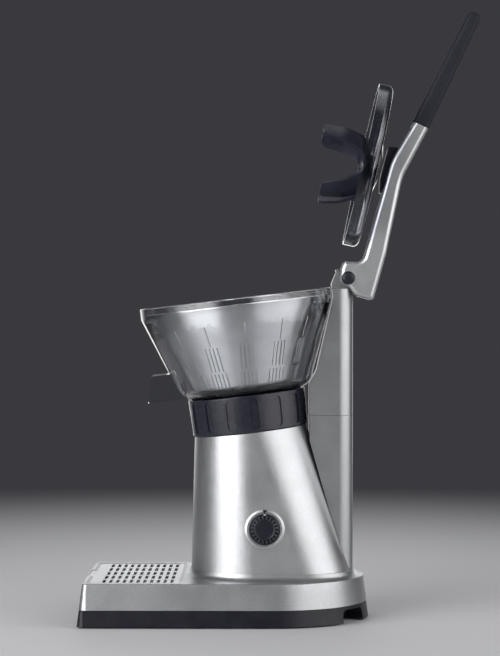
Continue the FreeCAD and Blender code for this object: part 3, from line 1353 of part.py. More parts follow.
def on_lid_axis(item, spin=0, pivot=0, hang=0):
    """
    Where the lid stands with the arm up, found from where it sits when the arm is closed. The item
    is spun about the lid's axis and hangs down by an angle from a pivot on it.
    """
    seat_x = D.press_x - D.lid_seat_z * sine(D.press_tilt) - D.hinge_x
    seat_z = D.press_z + D.lid_seat_z * cosine(D.press_tilt) - D.hinge_z
    swing = D.closing_angle
    x = D.hinge_x + seat_x * cosine(swing) + seat_z * sine(swing)
    z = D.hinge_z + seat_z * cosine(swing) - seat_x * sine(swing)
    tilt = lid_tilt()
    x = x - pivot * (sine(tilt) - sine(tilt + hang))
    z = z + pivot * (cosine(tilt) - cosine(tilt + hang))
    place(item, x, 0, z, (LEAN, tilt + hang), (UP, spin))
    return item


def press_lid():
    body = new_body("press_lid")
    depth = D.lid_depth
    wall = D.lid_wall
    radius = D.lid_radius
    dome = D.lid_dome_height
    dome_radius = D.lid_dome_radius
    draw(sketch := new_sketch(body, "XZ"), [
        (radius - wall, 0), (radius, 0), (radius, -depth, D.lid_edge_radius),
        (dome_radius, -depth, 20), (D.cup_hub_radius, -depth - dome, 8), (D.bolt_radius + 0.1, -depth - dome),
        (D.bolt_radius + 0.1, wall - depth - dome), (D.cup_hub_radius, wall - depth - dome, 6),
        (dome_radius, wall - depth, 20), (radius - wall, wall - depth, D.lid_edge_radius - 2)])
    revolve(body, sketch)
    on_lid_axis(body)


def press_cup():
    """A hub that swings on its bolt, with four petals that narrow towards their tips."""
    shell = new_body("cup_shell", keep=False)
    wall = D.cup_wall
    reach = D.cup_reach
    tip = D.cup_tip_radius
    waist = D.cup_waist_radius
    hub = D.cup_hub_radius
    low = D.cup_seat_z - 1
    draw(sketch := new_sketch(shell, "XZ"), [
        (D.cup_bore_low, low), (hub, low + 1.6), (hub, -9, 3), (waist, -3, 14), (tip - 4, 19, 30),
        (tip, reach), (tip - wall, reach), (tip - wall - 4, 20, 28), (waist - 3, 1, 12),
        (hub - 2.5, -5), (D.cup_bore_high, -4.2)])
    revolve(shell, sketch)
    arms = new_body("cup_arms", keep=False)
    root = D.petal_root_half
    half = D.petal_half_width
    end = D.petal_tip_half
    rounding = D.petal_corner_radius
    for role in ("XZ", "YZ"):
        strip = draw(new_sketch(arms, role), [
            (-root, low - 1), (root, low - 1), (root, -8), (half, 4, 12), (end, reach, rounding),
            (-end, reach, rounding), (-half, 4, 12), (-root, -8)])
        pad(arms, strip, D.cup_tip_radius * 2 + 4, both=True)
    cup = combine("Common", "press_cup", shell, arms)
    on_lid_axis(cup, D.cup_phase, D.cup_seat_z, D.cup_hang)


def cup_bolt():
    body = new_body("cup_bolt")
    low = -D.lid_depth - D.lid_dome_height - 0.1
    head = D.bolt_head_z
    ring_of(body, head, [(0, 0)], D.bolt_radius, length=head - low, down=True)
    ring_of(body, head, [(0, 0)], D.bolt_radius * 3, length=2.0)
    on_lid_axis(body)


# Speed dial


def on_dial_axis(item):
    place(item, D.dial_x, D.dial_surface_y, D.dial_z, ((1, 0, 0), 90 - D.dial_lean))
    return item


def dial_bezel():
    body = new_body("dial_bezel")
    lip = D.bezel_lip
    floor = -D.bezel_depth
    hole = D.bezel_hole_radius - 0.3
    wall = 1.2
    draw(sketch := new_sketch(body, "XZ"), [
        (D.spindle_radius + 0.4, floor), (D.bezel_floor_radius, floor), (D.bezel_radius - 1.6, lip),
        (D.bezel_radius, lip - 0.5), (D.bezel_radius, 0.1), (hole, 0.1), (D.bezel_floor_radius + wall, floor - wall),
        (D.spindle_radius + 0.4, floor - wall)])
    revolve(body, sketch)
    on_dial_axis(body)


def dial_knob():
    body = new_body("dial_knob")
    floor = -D.bezel_depth + 0.4
    top = D.knob_height
    radius = D.knob_radius
    face = D.knob_face_radius
    draw(sketch := new_sketch(body, "XZ"), [
        (0, floor), (radius, floor), (radius - 0.8, top - 1.5), (face + 1.2, top, 1), (face, top - 0.6),
        (0, top - 0.6)])
    revolve(body, sketch)
    flutes = new_sketch(body, "XY", top + 1)
    circle(flutes, radius + 0.1, 0, D.knob_flute_radius)
    polar(body, [cut(body, flutes, top - floor + 2)], D.knob_flutes)
    on_dial_axis(body)


def dial_spindle():
    body = new_body("dial_spindle")
    ring_of(body, -D.bezel_depth + 0.3, [(0, 0)], D.spindle_radius, length=D.sensor_depth + 1.5, down=True)
    on_dial_axis(body)


def speed_sensor():
    body = new_body("speed_sensor")
    top = -D.bezel_depth - 1.4
    ring_of(body, top, [(0, 0)], D.sensor_radius, D.spindle_radius + 0.05, D.sensor_depth, down=True)
    ring_of(body, top - D.sensor_depth, [(0, 0)], D.sensor_radius, length=1.0, down=True)
    on_dial_axis(body)


# Drip tray and grille


def grille_edges():
    """The grille's front and rear edges and its half width."""
    inset = D.tray_gap * 2 + D.tray_wall
    return D.tray_front_x + inset, D.tray_rear_x - inset, D.tray_half_y - inset


def tab_room(body, z):
    """The recess for the grille's finger tab in the front rims of the tray and of the base."""
    front = grille_edges()[0]
    half = D.tab_half_y + D.tray_gap
    return rectangle(new_sketch(body, "XY", z), front - D.tab_reach - D.tray_gap, front + 3, -half, half)


def drip_tray():
    body = new_body("drip_tray")
    gap = D.tray_gap
    wall = D.tray_wall
    top = D.base_top_z - 0.2
    front = D.tray_front_x + gap
    rear = D.tray_rear_x - gap
    half = D.tray_half_y - gap
    pad(body, rectangle(new_sketch(body, "XY", top), front, rear, -half, half, D.tray_corner_radius - gap),
        D.tray_depth, down=True)
    ledge = D.ledge_drop
    cut(body, rectangle(new_sketch(body, "XY", top), front + wall, rear - wall, -half + wall, half - wall,
                        D.tray_corner_radius - gap - wall), ledge)
    step = wall + D.ledge_width
    cut(body, rectangle(new_sketch(body, "XY", top), front + step, rear - step, -half + step, half - step,
                        3), D.tray_depth - wall)
    cut(body, tab_room(body, top), D.tab_room)


def drip_grille():
    body = new_body("drip_grille")
    top = D.base_top_z - 0.2 - D.grille_drop
    front, rear, half = grille_edges()
    rounding = D.tray_corner_radius - D.tray_gap * 2 - D.tray_wall
    pad(body, rectangle(new_sketch(body, "XY", top), front, rear, -half, half, rounding), D.grille_sheet,
        down=True)
    tab = D.tab_half_y
    pad(body, draw(new_sketch(body, "XY", top), [
        (front - D.tab_reach, -tab, 2), (front + 2, -tab), (front + 2, tab), (front - D.tab_reach, tab, 2)]),
        D.grille_sheet, down=True)
    slots = new_sketch(body, "XY", top + 0.1)
    middle = (front + rear) / 2
    first = middle - D.slot_pitch_x * (D.slot_columns - 1) / 2
    for i in range(int(SIZES["slot_rows"])):
        y = D.slot_pitch_y * (i - (SIZES["slot_rows"] - 1) / 2)
        rectangle(slots, first - D.slot_width / 2, first + D.slot_width / 2, y - D.slot_length / 2,
                  y + D.slot_length / 2)
    item = body.newObject("PartDesign::LinearPattern", body.Name + "_row")
    item.Originals = [cut(body, slots, D.grille_sheet * 2)]
    axis = next(line for line in body.Origin.OriginFeatures if line.Role == "X_Axis")
    item.Direction = (axis, [""])
    bind(item, "Length", D.slot_pitch_x * (D.slot_columns - 1))
    bind(item, "Occurrences", D.slot_columns)
    body.Tip = item


def check(item):
    if "Invalid" in item.State or "Error" in item.State:
        raise RuntimeError(f"{item.Label} failed: {item.State}")


base_cover()
underbody()
feet()
cable_gland()
control_board()
drive_housing()
drive_deck()
start_switch()
shaft_seal()
twist_collar()
juice_bowl()
strainer()
reamer()
output_gear()
idler_gear()
rotor()
output_shaft()
idler_axle()
gearbox_base()
gearbox_cover()
motor()
small_pieces()
column_lower()
column_cover()
column_post()
post_pin()
hinge_block()
hinge_pin()
hinge_rings()
hinge_caps()
arm_shell()
arm_front_cover()
grip()
grip_tang()
bracket_screws()
lid_bracket()
press_lid()
press_cup()
cup_bolt()
dial_bezel()
dial_knob()
dial_spindle()
speed_sensor()
drip_tray()
drip_grille()
doc.recompute()
for item in doc.Objects:
    check(item)
os.makedirs("parts", exist_ok=True)
for piece in pieces:
    shape = piece.Shape
    if shape.isNull() or not shape.isValid():
        raise RuntimeError(f"{piece.Label} has no valid shape")
    shape.exportStep(f"parts/{piece.Label}.step")
    print(piece.Label, len(shape.Solids), round(shape.Volume))
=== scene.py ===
"""Looks of the electric citrus press: its finishes, small trim, camera and light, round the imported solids."""

import json
import math

import bmesh
import bpy
from mathutils import Matrix, Vector

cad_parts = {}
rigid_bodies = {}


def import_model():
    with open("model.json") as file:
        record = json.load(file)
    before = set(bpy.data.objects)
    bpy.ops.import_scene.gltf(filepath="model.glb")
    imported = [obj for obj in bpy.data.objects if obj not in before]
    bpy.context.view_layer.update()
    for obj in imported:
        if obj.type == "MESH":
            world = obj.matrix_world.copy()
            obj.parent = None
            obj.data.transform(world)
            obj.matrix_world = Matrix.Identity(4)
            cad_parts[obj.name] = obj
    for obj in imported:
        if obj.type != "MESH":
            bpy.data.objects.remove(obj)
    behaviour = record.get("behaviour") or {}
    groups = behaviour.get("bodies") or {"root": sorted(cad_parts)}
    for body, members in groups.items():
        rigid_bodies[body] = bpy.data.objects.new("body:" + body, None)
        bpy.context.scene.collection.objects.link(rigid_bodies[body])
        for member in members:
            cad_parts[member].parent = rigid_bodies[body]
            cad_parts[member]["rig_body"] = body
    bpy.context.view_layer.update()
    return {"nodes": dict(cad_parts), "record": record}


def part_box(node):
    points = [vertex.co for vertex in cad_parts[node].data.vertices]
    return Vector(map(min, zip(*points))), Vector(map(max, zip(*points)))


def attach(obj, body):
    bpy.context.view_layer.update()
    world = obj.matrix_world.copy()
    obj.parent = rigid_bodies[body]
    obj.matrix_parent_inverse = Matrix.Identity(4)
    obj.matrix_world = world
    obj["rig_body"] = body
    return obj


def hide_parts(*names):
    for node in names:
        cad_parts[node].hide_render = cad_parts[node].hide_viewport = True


MM = 0.001

# The column's plan in millimetres: its nose tapers in the solid and is drawn straight here.
COLUMN_HALF_Y = 28.0
COLUMN_WALL = 2.6
NOSE_FRONT_X = 89.5
NOSE_FLANK_X = 111.5
NOSE_HALF_Y = 18.0
# Points further behind the flank than this, or nearer to the middle plane, stay where they are.
NOSE_BEHIND = 4.0
NOSE_MIDDLE = 1.0
# How near a point lies to the nose's outer or inner face to be drawn onto it.
OUTER_REACH = 0.6
INNER_REACH = 0.9

# The speed dial in millimetres, measured out from its centre and up from the housing's face.
RING_INNER_RADIUS = 16.6
RING_CREST_RADIUS = 18.5
RING_RADIUS = 21.2
RING_CREST = 1.2
RING_FLOOR = -2.4
RING_FOOT = -3.6
KNOB_FACE_RADIUS = 10.8
KNOB_SKIRT_RADIUS = 16.2
KNOB_HEIGHT = 8.0
KNOB_WELL = KNOB_HEIGHT - 4.2
KNOB_FOOT = -3.4
KNOB_RIBS = 20
RIB_OUTER_RADIUS = 14.6
RIB_OUTER_HEIGHT = 3.9
RIB_FOOT = KNOB_WELL - 0.6
RIB_WIDTH = 1.7
RIB_CHAMFER_Y = 0.4
RIB_CHAMFER_Z = 0.5
POINTER_BACK = RING_RADIUS - 0.8
POINTER_LONG = 3.5
POINTER_HALF = 2.7
POINTER_FOOT = 0.3
MARK_THICKNESS = 0.25

# Profiles to turn: each corner's radius and height, and how far its rounding reaches, if it has one.
RING_PROFILE = (
    (0, RING_FLOOR),
    (RING_INNER_RADIUS, RING_FLOOR),
    (RING_INNER_RADIUS + 0.1, 0.2, 0.2),
    (17.2, 0.4, 0.2),
    (17.5, 0.3, 0.1),
    (RING_CREST_RADIUS, RING_CREST, 0.7),
    (RING_RADIUS, 0.1, 0.3),
    (RING_RADIUS - 0.1, -0.4),
    (18.6, RING_FOOT),
    (0, RING_FOOT),
)
KNOB_PROFILE = (
    (0, KNOB_HEIGHT - 0.5),
    (KNOB_FACE_RADIUS - 1.2, KNOB_HEIGHT - 0.5, 0.4),
    (KNOB_FACE_RADIUS - 0.6, KNOB_HEIGHT, 0.4),
    (KNOB_FACE_RADIUS, KNOB_HEIGHT, 0.4),
    (KNOB_FACE_RADIUS + 0.5, KNOB_WELL, 0.5),
    (RIB_OUTER_RADIUS - 0.5, KNOB_WELL, 0.3),
    (KNOB_SKIRT_RADIUS - 0.1, 1.2, 0.5),
    (KNOB_SKIRT_RADIUS, KNOB_FOOT),
    (0, KNOB_FOOT),
)
# A rib's crown from the knob's face outwards: radius and height.
RIB_CROWN = (
    (KNOB_FACE_RADIUS - 0.1, KNOB_HEIGHT - 0.1),
    (KNOB_FACE_RADIUS + 1.1, KNOB_HEIGHT - 0.6),
    (RIB_OUTER_RADIUS, RIB_OUTER_HEIGHT),
)
# The flat outlines of the ring's pointer and of the light mark on the knob: across, outwards and up.
POINTER_OUTLINE = (
    (0, POINTER_BACK - POINTER_LONG, POINTER_FOOT),
    (POINTER_HALF, POINTER_BACK, POINTER_FOOT),
    (-POINTER_HALF, POINTER_BACK, POINTER_FOOT),
)
MARK_OUTLINE = ((-1.3, 15.0, 3.3), (1.3, 15.0, 3.3), (1.2, 15.9, 1.9), (-1.2, 15.9, 1.9))
# The cap on the hinge pin: share of its radius, depth in millimetres below its crown, and rounding.
BUTTON_PROFILE = ((0, 0), (0.45, 0.15, 1.0), (0.8, 0.9, 1.0), (1, 2.2, 0.6), (1, 2.3), (0, 2.3))

# The photograph's frame and the camera that took it.
PICTURE_HEIGHT_PX = 656
SENSOR_MM = 36
FOCAL_PX = 2315
CAMERA_AT = Vector((52.8, -2500, 348.4)) * MM
CAMERA_LOOKS_AT = Vector((25.8, 0, 311)) * MM

# The studio in metres: half the table's width, and how far out it starts and ends to turn into backdrop.
BACKDROP = "#3a3a3e"
TABLE_HALF = 6.0
TABLE_FADE = (0.2, 1.8)
LAMPS_AIM = Vector((0.03, 0, 0.3))
# Across a lamp, in parts of its width: how far from its middle it starts to fade. It is dark at the edge.
LAMP_EVEN = 0.2
LAMP_EDGE = 0.5

# Edges that bend by more than this stay crisp when the rest is shaded smooth.
CREASE = math.radians(32)
SAME_POINT = 0.002 * MM

# Nearly all of a noise's values lie between these two.
NOISE_LOW = 0.3
NOISE_HIGH = 0.7
# The Mix node's sockets for colours share their names with its other sockets, so they go by number.
MIX_FACTOR, MIX_DARK, MIX_LIGHT, MIX_RESULT = 0, 6, 7, 2

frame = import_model()
scene = bpy.context.scene
JOINTS = {joint["name"]: joint for joint in frame["record"]["behaviour"]["joints"]}
PRESS_AXIS = Vector(JOINTS["collar_turn"]["axis"])


# Colours, nodes and patterns


def colour(code, alpha=1.0):
    """The linear colour of an sRGB hex code."""
    parts = [int(code[i : i + 2], 16) / 255 for i in (1, 3, 5)]
    linear = [c / 12.92 if c <= 0.04045 else ((c + 0.055) / 1.055) ** 2.4 for c in parts]
    return (*linear, alpha)


def per(size_mm):
    """The scale of a pattern whose features are this size, on coordinates in metres."""
    return 1000 / size_mm


def add(tree, kind, settings=None, inputs=None):
    """Adds a node, sets its properties, and sets or links its inputs."""
    node = tree.nodes.new(kind)
    for name, value in (settings or {}).items():
        setattr(node, name, value)
    for name, value in (inputs or {}).items():
        if isinstance(value, bpy.types.NodeSocket):
            tree.links.new(value, node.inputs[name])
        else:
            node.inputs[name].default_value = value
    return node


def drift(tree, place, size_mm, detail, low=0.0, high=1.0):
    """A number that drifts between two values over patches of this size."""
    noise = add(
        tree,
        "ShaderNodeTexNoise",
        inputs={"Vector": place, "Scale": per(size_mm), "Detail": detail, "Roughness": 0.6},
    )
    span = {"From Min": NOISE_LOW, "From Max": NOISE_HIGH, "To Min": low, "To Max": high}
    return add(tree, "ShaderNodeMapRange", inputs={"Value": noise.outputs[0], **span}).outputs["Result"]


def mottle(tree, place, size_mm, detail, dark, light):
    """A colour that drifts between two shades over patches of this size."""
    part = drift(tree, place, size_mm, detail)
    shades = {MIX_FACTOR: part, MIX_DARK: colour(dark), MIX_LIGHT: colour(light)}
    return add(tree, "ShaderNodeMix", {"data_type": "RGBA"}, shades).outputs[MIX_RESULT]


def new_finish(name):
    """An empty material, its tree, and the place on the object that its patterns read."""
    material = bpy.data.materials.new(name)
    material.use_nodes = True
    tree = material.node_tree
    tree.nodes.clear()
    place = add(tree, "ShaderNodeTexCoord").outputs["Object"]
    return material, tree, place


def surfaced(material, surface):
    """Ends a material in the Principled shader, with the values and patterns of its surface."""
    tree = material.node_tree
    shader = add(tree, "ShaderNodeBsdfPrincipled", inputs=surface)
    add(tree, "ShaderNodeOutputMaterial", inputs={"Surface": shader.outputs[0]})
    return material


# Finishes


def silver_lacquer(name, dark, light, ripple_mm=2.2, depth_mm=0.003):
    """Metallic lacquer sprayed on moulded ABS: soft satin highlights, and a fine ripple.

    Its flakes are too fine to show, so their mottle is drawn as coarse as 1.4 mm.
    """
    material, tree, place = new_finish(name)
    waves = {"Vector": place, "Scale": per(ripple_mm), "Detail": 1.0}
    ripple = add(tree, "ShaderNodeTexNoise", inputs=waves)
    relief = add(tree, "ShaderNodeBump", inputs={"Height": ripple.outputs[0], "Distance": depth_mm * MM})
    surface = {
        "Base Color": mottle(tree, place, size_mm=1.4, detail=4, dark=dark, light=light),
        "Metallic": 0.95,
        "Roughness": drift(tree, place, size_mm=28, detail=2, low=0.36, high=0.42),
        "Normal": relief.outputs["Normal"],
    }
    return surfaced(material, surface)


def moulded_black(name, dark, light, grain_mm=0.9, low=0.34, high=0.44, depth_mm=0.01, gloss=0.35):
    """Moulded polypropylene or ABS: spark-eroded grain that breaks the highlight up.

    Real grain is about 0.2 mm wide and is drawn coarser, so that it shows.
    """
    material, tree, place = new_finish(name)
    grain = add(tree, "ShaderNodeTexVoronoi", inputs={"Vector": place, "Scale": per(grain_mm)})
    pits = {"Height": grain.outputs["Distance"], "Distance": depth_mm * MM}
    relief = add(tree, "ShaderNodeBump", inputs=pits)
    surface = {
        "Base Color": mottle(tree, place, size_mm=6, detail=3, dark=dark, light=light),
        "Roughness": drift(tree, place, size_mm=14, detail=2, low=low, high=high),
        "IOR": 1.49,
        "Specular IOR Level": gloss,
        "Normal": relief.outputs["Normal"],
    }
    return surfaced(material, surface)


def soft_rubber(name, dark, light, grain_mm=0.6, depth_mm=0.015, bloom=0.12, gloss=0.5):
    """Moulded rubber with a dusty bloom: dull, with broad soft highlights.

    Its grain is too fine to show, so it is drawn as coarse as it needs to be.
    """
    material, tree, place = new_finish(name)
    dust = {"Vector": place, "Scale": per(grain_mm), "Detail": 2.0}
    grain = add(tree, "ShaderNodeTexNoise", inputs=dust)
    relief = add(tree, "ShaderNodeBump", inputs={"Height": grain.outputs[0], "Distance": depth_mm * MM})
    surface = {
        "Base Color": mottle(tree, place, size_mm=9, detail=3, dark=dark, light=light),
        "Roughness": drift(tree, place, size_mm=3, detail=3, low=0.55, high=0.7),
        "IOR": 1.52,
        "Specular IOR Level": gloss,
        "Sheen Weight": bloom,
        "Sheen Roughness": 0.4,
        "Normal": relief.outputs["Normal"],
    }
    return surfaced(material, surface)


def turned_metal(name, dark, light, low, high, ring_mm=0.5, along_mm=83.3, depth_mm=0.003):
    """Turned, pressed or stacked metal: fine level lines that stretch the highlights upright.

    The lines are drawn coarser than tool marks are, so that they show.
    """
    material, tree, place = new_finish(name)
    stretch = {"Vector": place, "Scale": (per(along_mm), per(along_mm), per(ring_mm))}
    drawn_out = add(tree, "ShaderNodeMapping", inputs=stretch).outputs[0]
    rings = add(tree, "ShaderNodeTexNoise", inputs={"Vector": drawn_out, "Scale": 1.0, "Detail": 3.0})
    span = {"From Min": NOISE_LOW, "From Max": NOISE_HIGH, "To Min": low, "To Max": high}
    dullness = add(tree, "ShaderNodeMapRange", inputs={"Value": rings.outputs[0], **span})
    relief = add(tree, "ShaderNodeBump", inputs={"Height": rings.outputs[0], "Distance": depth_mm * MM})
    surface = {
        "Base Color": mottle(tree, place, size_mm=20, detail=2, dark=dark, light=light),
        "Metallic": 1.0,
        "Roughness": dullness.outputs["Result"],
        "Normal": relief.outputs["Normal"],
    }
    return surfaced(material, surface)


def brushed_steel(name, dark, light):
    """Stainless sheet, spun and brushed round its axis: each lamp is drawn out into an upright band."""
    material, tree, place = new_finish(name)
    facing = add(tree, "ShaderNodeNewGeometry").outputs["Normal"]
    across = {0: tuple(PRESS_AXIS), 1: facing}
    grain = add(tree, "ShaderNodeVectorMath", {"operation": "CROSS_PRODUCT"}, across)
    surface = {
        "Base Color": mottle(tree, place, size_mm=20, detail=2, dark=dark, light=light),
        "Metallic": 1.0,
        "Roughness": drift(tree, place, size_mm=9, detail=3, low=0.4, high=0.46),
        "Anisotropic": 0.9,
        "Anisotropic Rotation": 0.25,
        "Tangent": grain.outputs[0],
    }
    return surfaced(material, surface)


def clear_shell(name, tint):
    """Injection-moulded clear SAN: sharp reflections, bright edges, and faint wiping marks.

    SAN's own index is 1.57. At 1.42 the walls bend what is behind them as little as in the photograph.
    """
    material, tree, place = new_finish(name)
    surface = {
        "Base Color": colour(tint),
        "Roughness": drift(tree, place, size_mm=18, detail=4, low=0.01, high=0.04),
        "IOR": 1.42,
        "Transmission Weight": 1.0,
    }
    return surfaced(material, surface)


def sintered_bronze():
    """Pressed bronze powder, oil-filled: matt and speckled.

    The powder's grains, near 0.1 mm, are drawn as coarse as 0.5 mm, so that they show.
    """
    material, tree, place = new_finish("sintered_bronze")
    surface = {
        "Base Color": mottle(tree, place, size_mm=0.5, detail=3, dark="#8a6a3e", light="#b58e58"),
        "Metallic": 1.0,
        "Roughness": drift(tree, place, size_mm=2, detail=2, low=0.4, high=0.6),
    }
    return surfaced(material, surface)


def circuit_laminate(weave_mm=0.6, depth_mm=0.01):
    """Woven epoxy board under green solder mask: a faint weave below the gloss."""
    material, tree, place = new_finish("circuit_laminate")
    weave = add(tree, "ShaderNodeTexChecker", inputs={"Vector": place, "Scale": per(weave_mm)})
    relief = add(tree, "ShaderNodeBump", inputs={"Height": weave.outputs["Fac"], "Distance": depth_mm * MM})
    surface = {
        "Base Color": mottle(tree, place, size_mm=8, detail=2, dark="#123f22", light="#1a5a30"),
        "Roughness": drift(tree, place, size_mm=5, detail=2, low=0.25, high=0.4),
        "IOR": 1.55,
        "Normal": relief.outputs["Normal"],
    }
    return surfaced(material, surface)


# One finish for each of the record's slots, then the nodes that depart from their slot's.
FINISHES = {
    "silver_paint": silver_lacquer("silver_lacquer", "#a2a3a5", "#b0b1b3"),
    # The base's own blue-black, painted darker still as painted shade against the light the pale table throws
    # up on it.
    "dark_base": moulded_black("blue_black_abs_painted_shade", "#0c0d15", "#13141e"),
    "foot_rubber": soft_rubber("foot_rubber", "#131315", "#1d1d20"),
    "black_plastic": moulded_black("black_abs", "#161721", "#1f202b"),
    "collar_black": moulded_black("collar_abs", "#1b1c26", "#242530", low=0.24, high=0.32, gloss=0.45),
    "board": circuit_laminate(),
    "screw_steel": turned_metal("zinc_plated_steel", "#9a9b9e", "#b4b5b8", low=0.25, high=0.4),
    "gearbox_plastic": moulded_black("filled_nylon", "#1b1b1e", "#2a2a2e", low=0.45, high=0.6),
    "gear_plastic": moulded_black("natural_acetal", "#cfccc0", "#dedbd0", low=0.3, high=0.4),
    "bush_bronze": sintered_bronze(),
    "bright_steel": brushed_steel("brushed_stainless", "#dcdddf", "#e8e9eb"),
    "zinc_steel": turned_metal("zinc_pressings", "#8f9194", "#a9abae", low=0.3, high=0.45),
    "field_iron": turned_metal("laminated_iron", "#4a4644", "#615c59", low=0.4, high=0.6, depth_mm=0.1),
    "hinge_grey": silver_lacquer("hinge_lacquer", "#98999b", "#a8a9ab"),
    "bezel_silver": silver_lacquer("bezel_lacquer", "#b4b5b7", "#c2c3c5"),
    "arm_inlay": moulded_black("inlay_abs", "#12131a", "#1b1d24"),
    "soft_grip": soft_rubber("soft_touch_grip", "#13141f", "#1b1c28", bloom=0.0, gloss=0.3),
    "clear_plastic": clear_shell("clear_san", "#f6f7f9"),
    "dial_black": moulded_black("dial_abs", "#14151e", "#1c1e27", low=0.3, high=0.4),
    "grille_metal": silver_lacquer("grille_lacquer", "#b8b9bb", "#c8c9cb"),
}
OWN_FINISH = {
    "press_lid": clear_shell("smoked_san", "#c6c9d1"),
    # Painted light: a lighter copy of the black plastic, to lift the cup's shaded lower part.
    "press_cup": moulded_black("cup_abs_painted_light", "#1c1d29", "#252734"),
    # Painted light: a lighter copy of the silver lacquer, so the arm's flats read as brightly lit.
    "arm_shell": silver_lacquer("arm_lacquer_painted_light", "#c2c3c5", "#d0d1d3"),
    # Painted light: a lighter copy of the silver lacquer, to brighten the housing's flats between its
    # highlights.
    "drive_housing": silver_lacquer("housing_lacquer_painted_light", "#b0b1b3", "#bdbec0"),
}
# Painted highlight: the ribs are the knob's black plastic, drawn in lighter grey where the light catches them.
RIB_PAINTED_HIGHLIGHT = moulded_black("rib_abs_painted_highlight", "#34353d", "#44454d", low=0.3, high=0.4)
MARK_FINISH = moulded_black("pad_print_white", "#b9bbbd", "#cccdd0", low=0.4, high=0.5)
POINTER_FINISH = moulded_black("pad_print_black", "#101119", "#181a22")


# Forms


def shape_of(name, points, faces):
    """A mesh from points in millimetres, with its faces turned outwards and its sharp edges marked."""
    mesh = bpy.data.meshes.new(name)
    mesh.from_pydata([Vector(point) * MM for point in points], [], faces)
    smoothed(mesh, own=True)
    return mesh


def smoothed(mesh, own=False):
    """Merges the mesh's doubles, shades it smooth between its creases, and turns its own faces outwards."""
    shape = bmesh.new()
    shape.from_mesh(mesh)
    bmesh.ops.remove_doubles(shape, verts=shape.verts, dist=SAME_POINT)
    if own:
        bmesh.ops.recalc_face_normals(shape, faces=shape.faces)
    for face in shape.faces:
        face.smooth = True
    for edge in shape.edges:
        edge.smooth = len(edge.link_faces) == 2 and edge.calc_face_angle(0) < CREASE
    shape.to_mesh(mesh)
    shape.free()


def rounded(corners, steps=5):
    """An open outline whose corners (radius, height, rounding) are turned by short curves."""
    outline = []
    for index, corner in enumerate(corners):
        here = Vector(corner[:2])
        reach = corner[2] if len(corner) > 2 else 0
        if not reach:
            outline.append(here)
            continue
        before = here + (Vector(corners[index - 1][:2]) - here).normalized() * reach
        after = here + (Vector(corners[index + 1][:2]) - here).normalized() * reach
        for step in range(steps + 1):
            t = step / steps
            outline.append(before * (1 - t) ** 2 + here * 2 * t * (1 - t) + after * t**2)
    return outline


def turned(name, outline, steps=120):
    """A closed form turned round Z from an outline whose two ends lie on the axis."""
    points = []
    rings = []
    for r, z in outline:
        if r == 0:
            rings.append([len(points)] * steps)
            points.append((0, 0, z))
            continue
        rings.append(list(range(len(points), len(points) + steps)))
        for step in range(steps):
            turn = math.tau * step / steps
            points.append((r * math.cos(turn), r * math.sin(turn), z))
    faces = []
    for low, high in zip(rings, rings[1:]):
        for step in range(steps):
            after = (step + 1) % steps
            loop = [low[step], low[after], high[after], high[step]]
            faces.append(tuple(dict.fromkeys(loop)))
    return shape_of(name, points, faces)


def band(sides, low, high):
    """The faces between two rows of points that both go once round a section."""
    return [(low + i, low + (i + 1) % sides, high + (i + 1) % sides, high + i) for i in range(sides)]


def solid(name, outline, thickness):
    """A flat outline in X and Y, thickened up along Z from its own height."""
    count = len(outline)
    points = [*outline, *((x, y, z + thickness) for x, y, z in outline)]
    faces = [tuple(range(count)), tuple(range(count, 2 * count)), *band(count, 0, count)]
    return shape_of(name, points, faces)


def knob_rib():
    """One finger rib of the knob: three chamfered sections, from its face out to its skirt."""
    half = RIB_WIDTH / 2
    crown = half - RIB_CHAMFER_Y
    points = []
    for r, high in RIB_CROWN:
        low = high - RIB_CHAMFER_Z
        left = [(-half, RIB_FOOT), (-half, low), (-crown, high)]
        section = left + [(-y, z) for y, z in reversed(left)]
        points += [(r, y, z) for y, z in section]
    sides = len(section)
    faces = [tuple(range(sides)), tuple(range(2 * sides, 3 * sides))]
    faces += band(sides, 0, sides) + band(sides, sides, 2 * sides)
    return shape_of("knob_rib", points, faces)


def round_the_axis():
    """A node tree that repeats its geometry round Z: count, first turn and finish are its inputs."""
    tree = bpy.data.node_groups.new("round_the_axis", "GeometryNodeTree")
    given_sockets = {"Piece": "Geometry", "Count": "Int", "First turn": "Float", "Finish": "Material"}
    for label, kind in given_sockets.items():
        tree.interface.new_socket(label, in_out="INPUT", socket_type=f"NodeSocket{kind}")
    tree.interface.new_socket("Ring", in_out="OUTPUT", socket_type="NodeSocketGeometry")
    given = add(tree, "NodeGroupInput").outputs
    spots = add(tree, "GeometryNodeMeshLine", inputs={"Count": given["Count"], "Offset": (0, 0, 0)})
    pitch = add(tree, "ShaderNodeMath", {"operation": "DIVIDE"}, {0: math.tau, 1: given["Count"]})
    index = add(tree, "GeometryNodeInputIndex")
    place = {0: index.outputs[0], 1: pitch.outputs[0], 2: given["First turn"]}
    turn = add(tree, "ShaderNodeMath", {"operation": "MULTIPLY_ADD"}, place)
    spin = add(tree, "ShaderNodeCombineXYZ", inputs={"Z": turn.outputs[0]})
    laid = {"Points": spots.outputs[0], "Instance": given["Piece"], "Rotation": spin.outputs[0]}
    copies = add(tree, "GeometryNodeInstanceOnPoints", inputs=laid)
    real = add(tree, "GeometryNodeRealizeInstances", inputs={"Geometry": copies.outputs[0]})
    coated = {"Geometry": real.outputs[0], "Material": given["Finish"]}
    ring = add(tree, "GeometryNodeSetMaterial", inputs=coated)
    add(tree, "NodeGroupOutput", inputs={"Ring": ring.outputs[0]})
    return tree


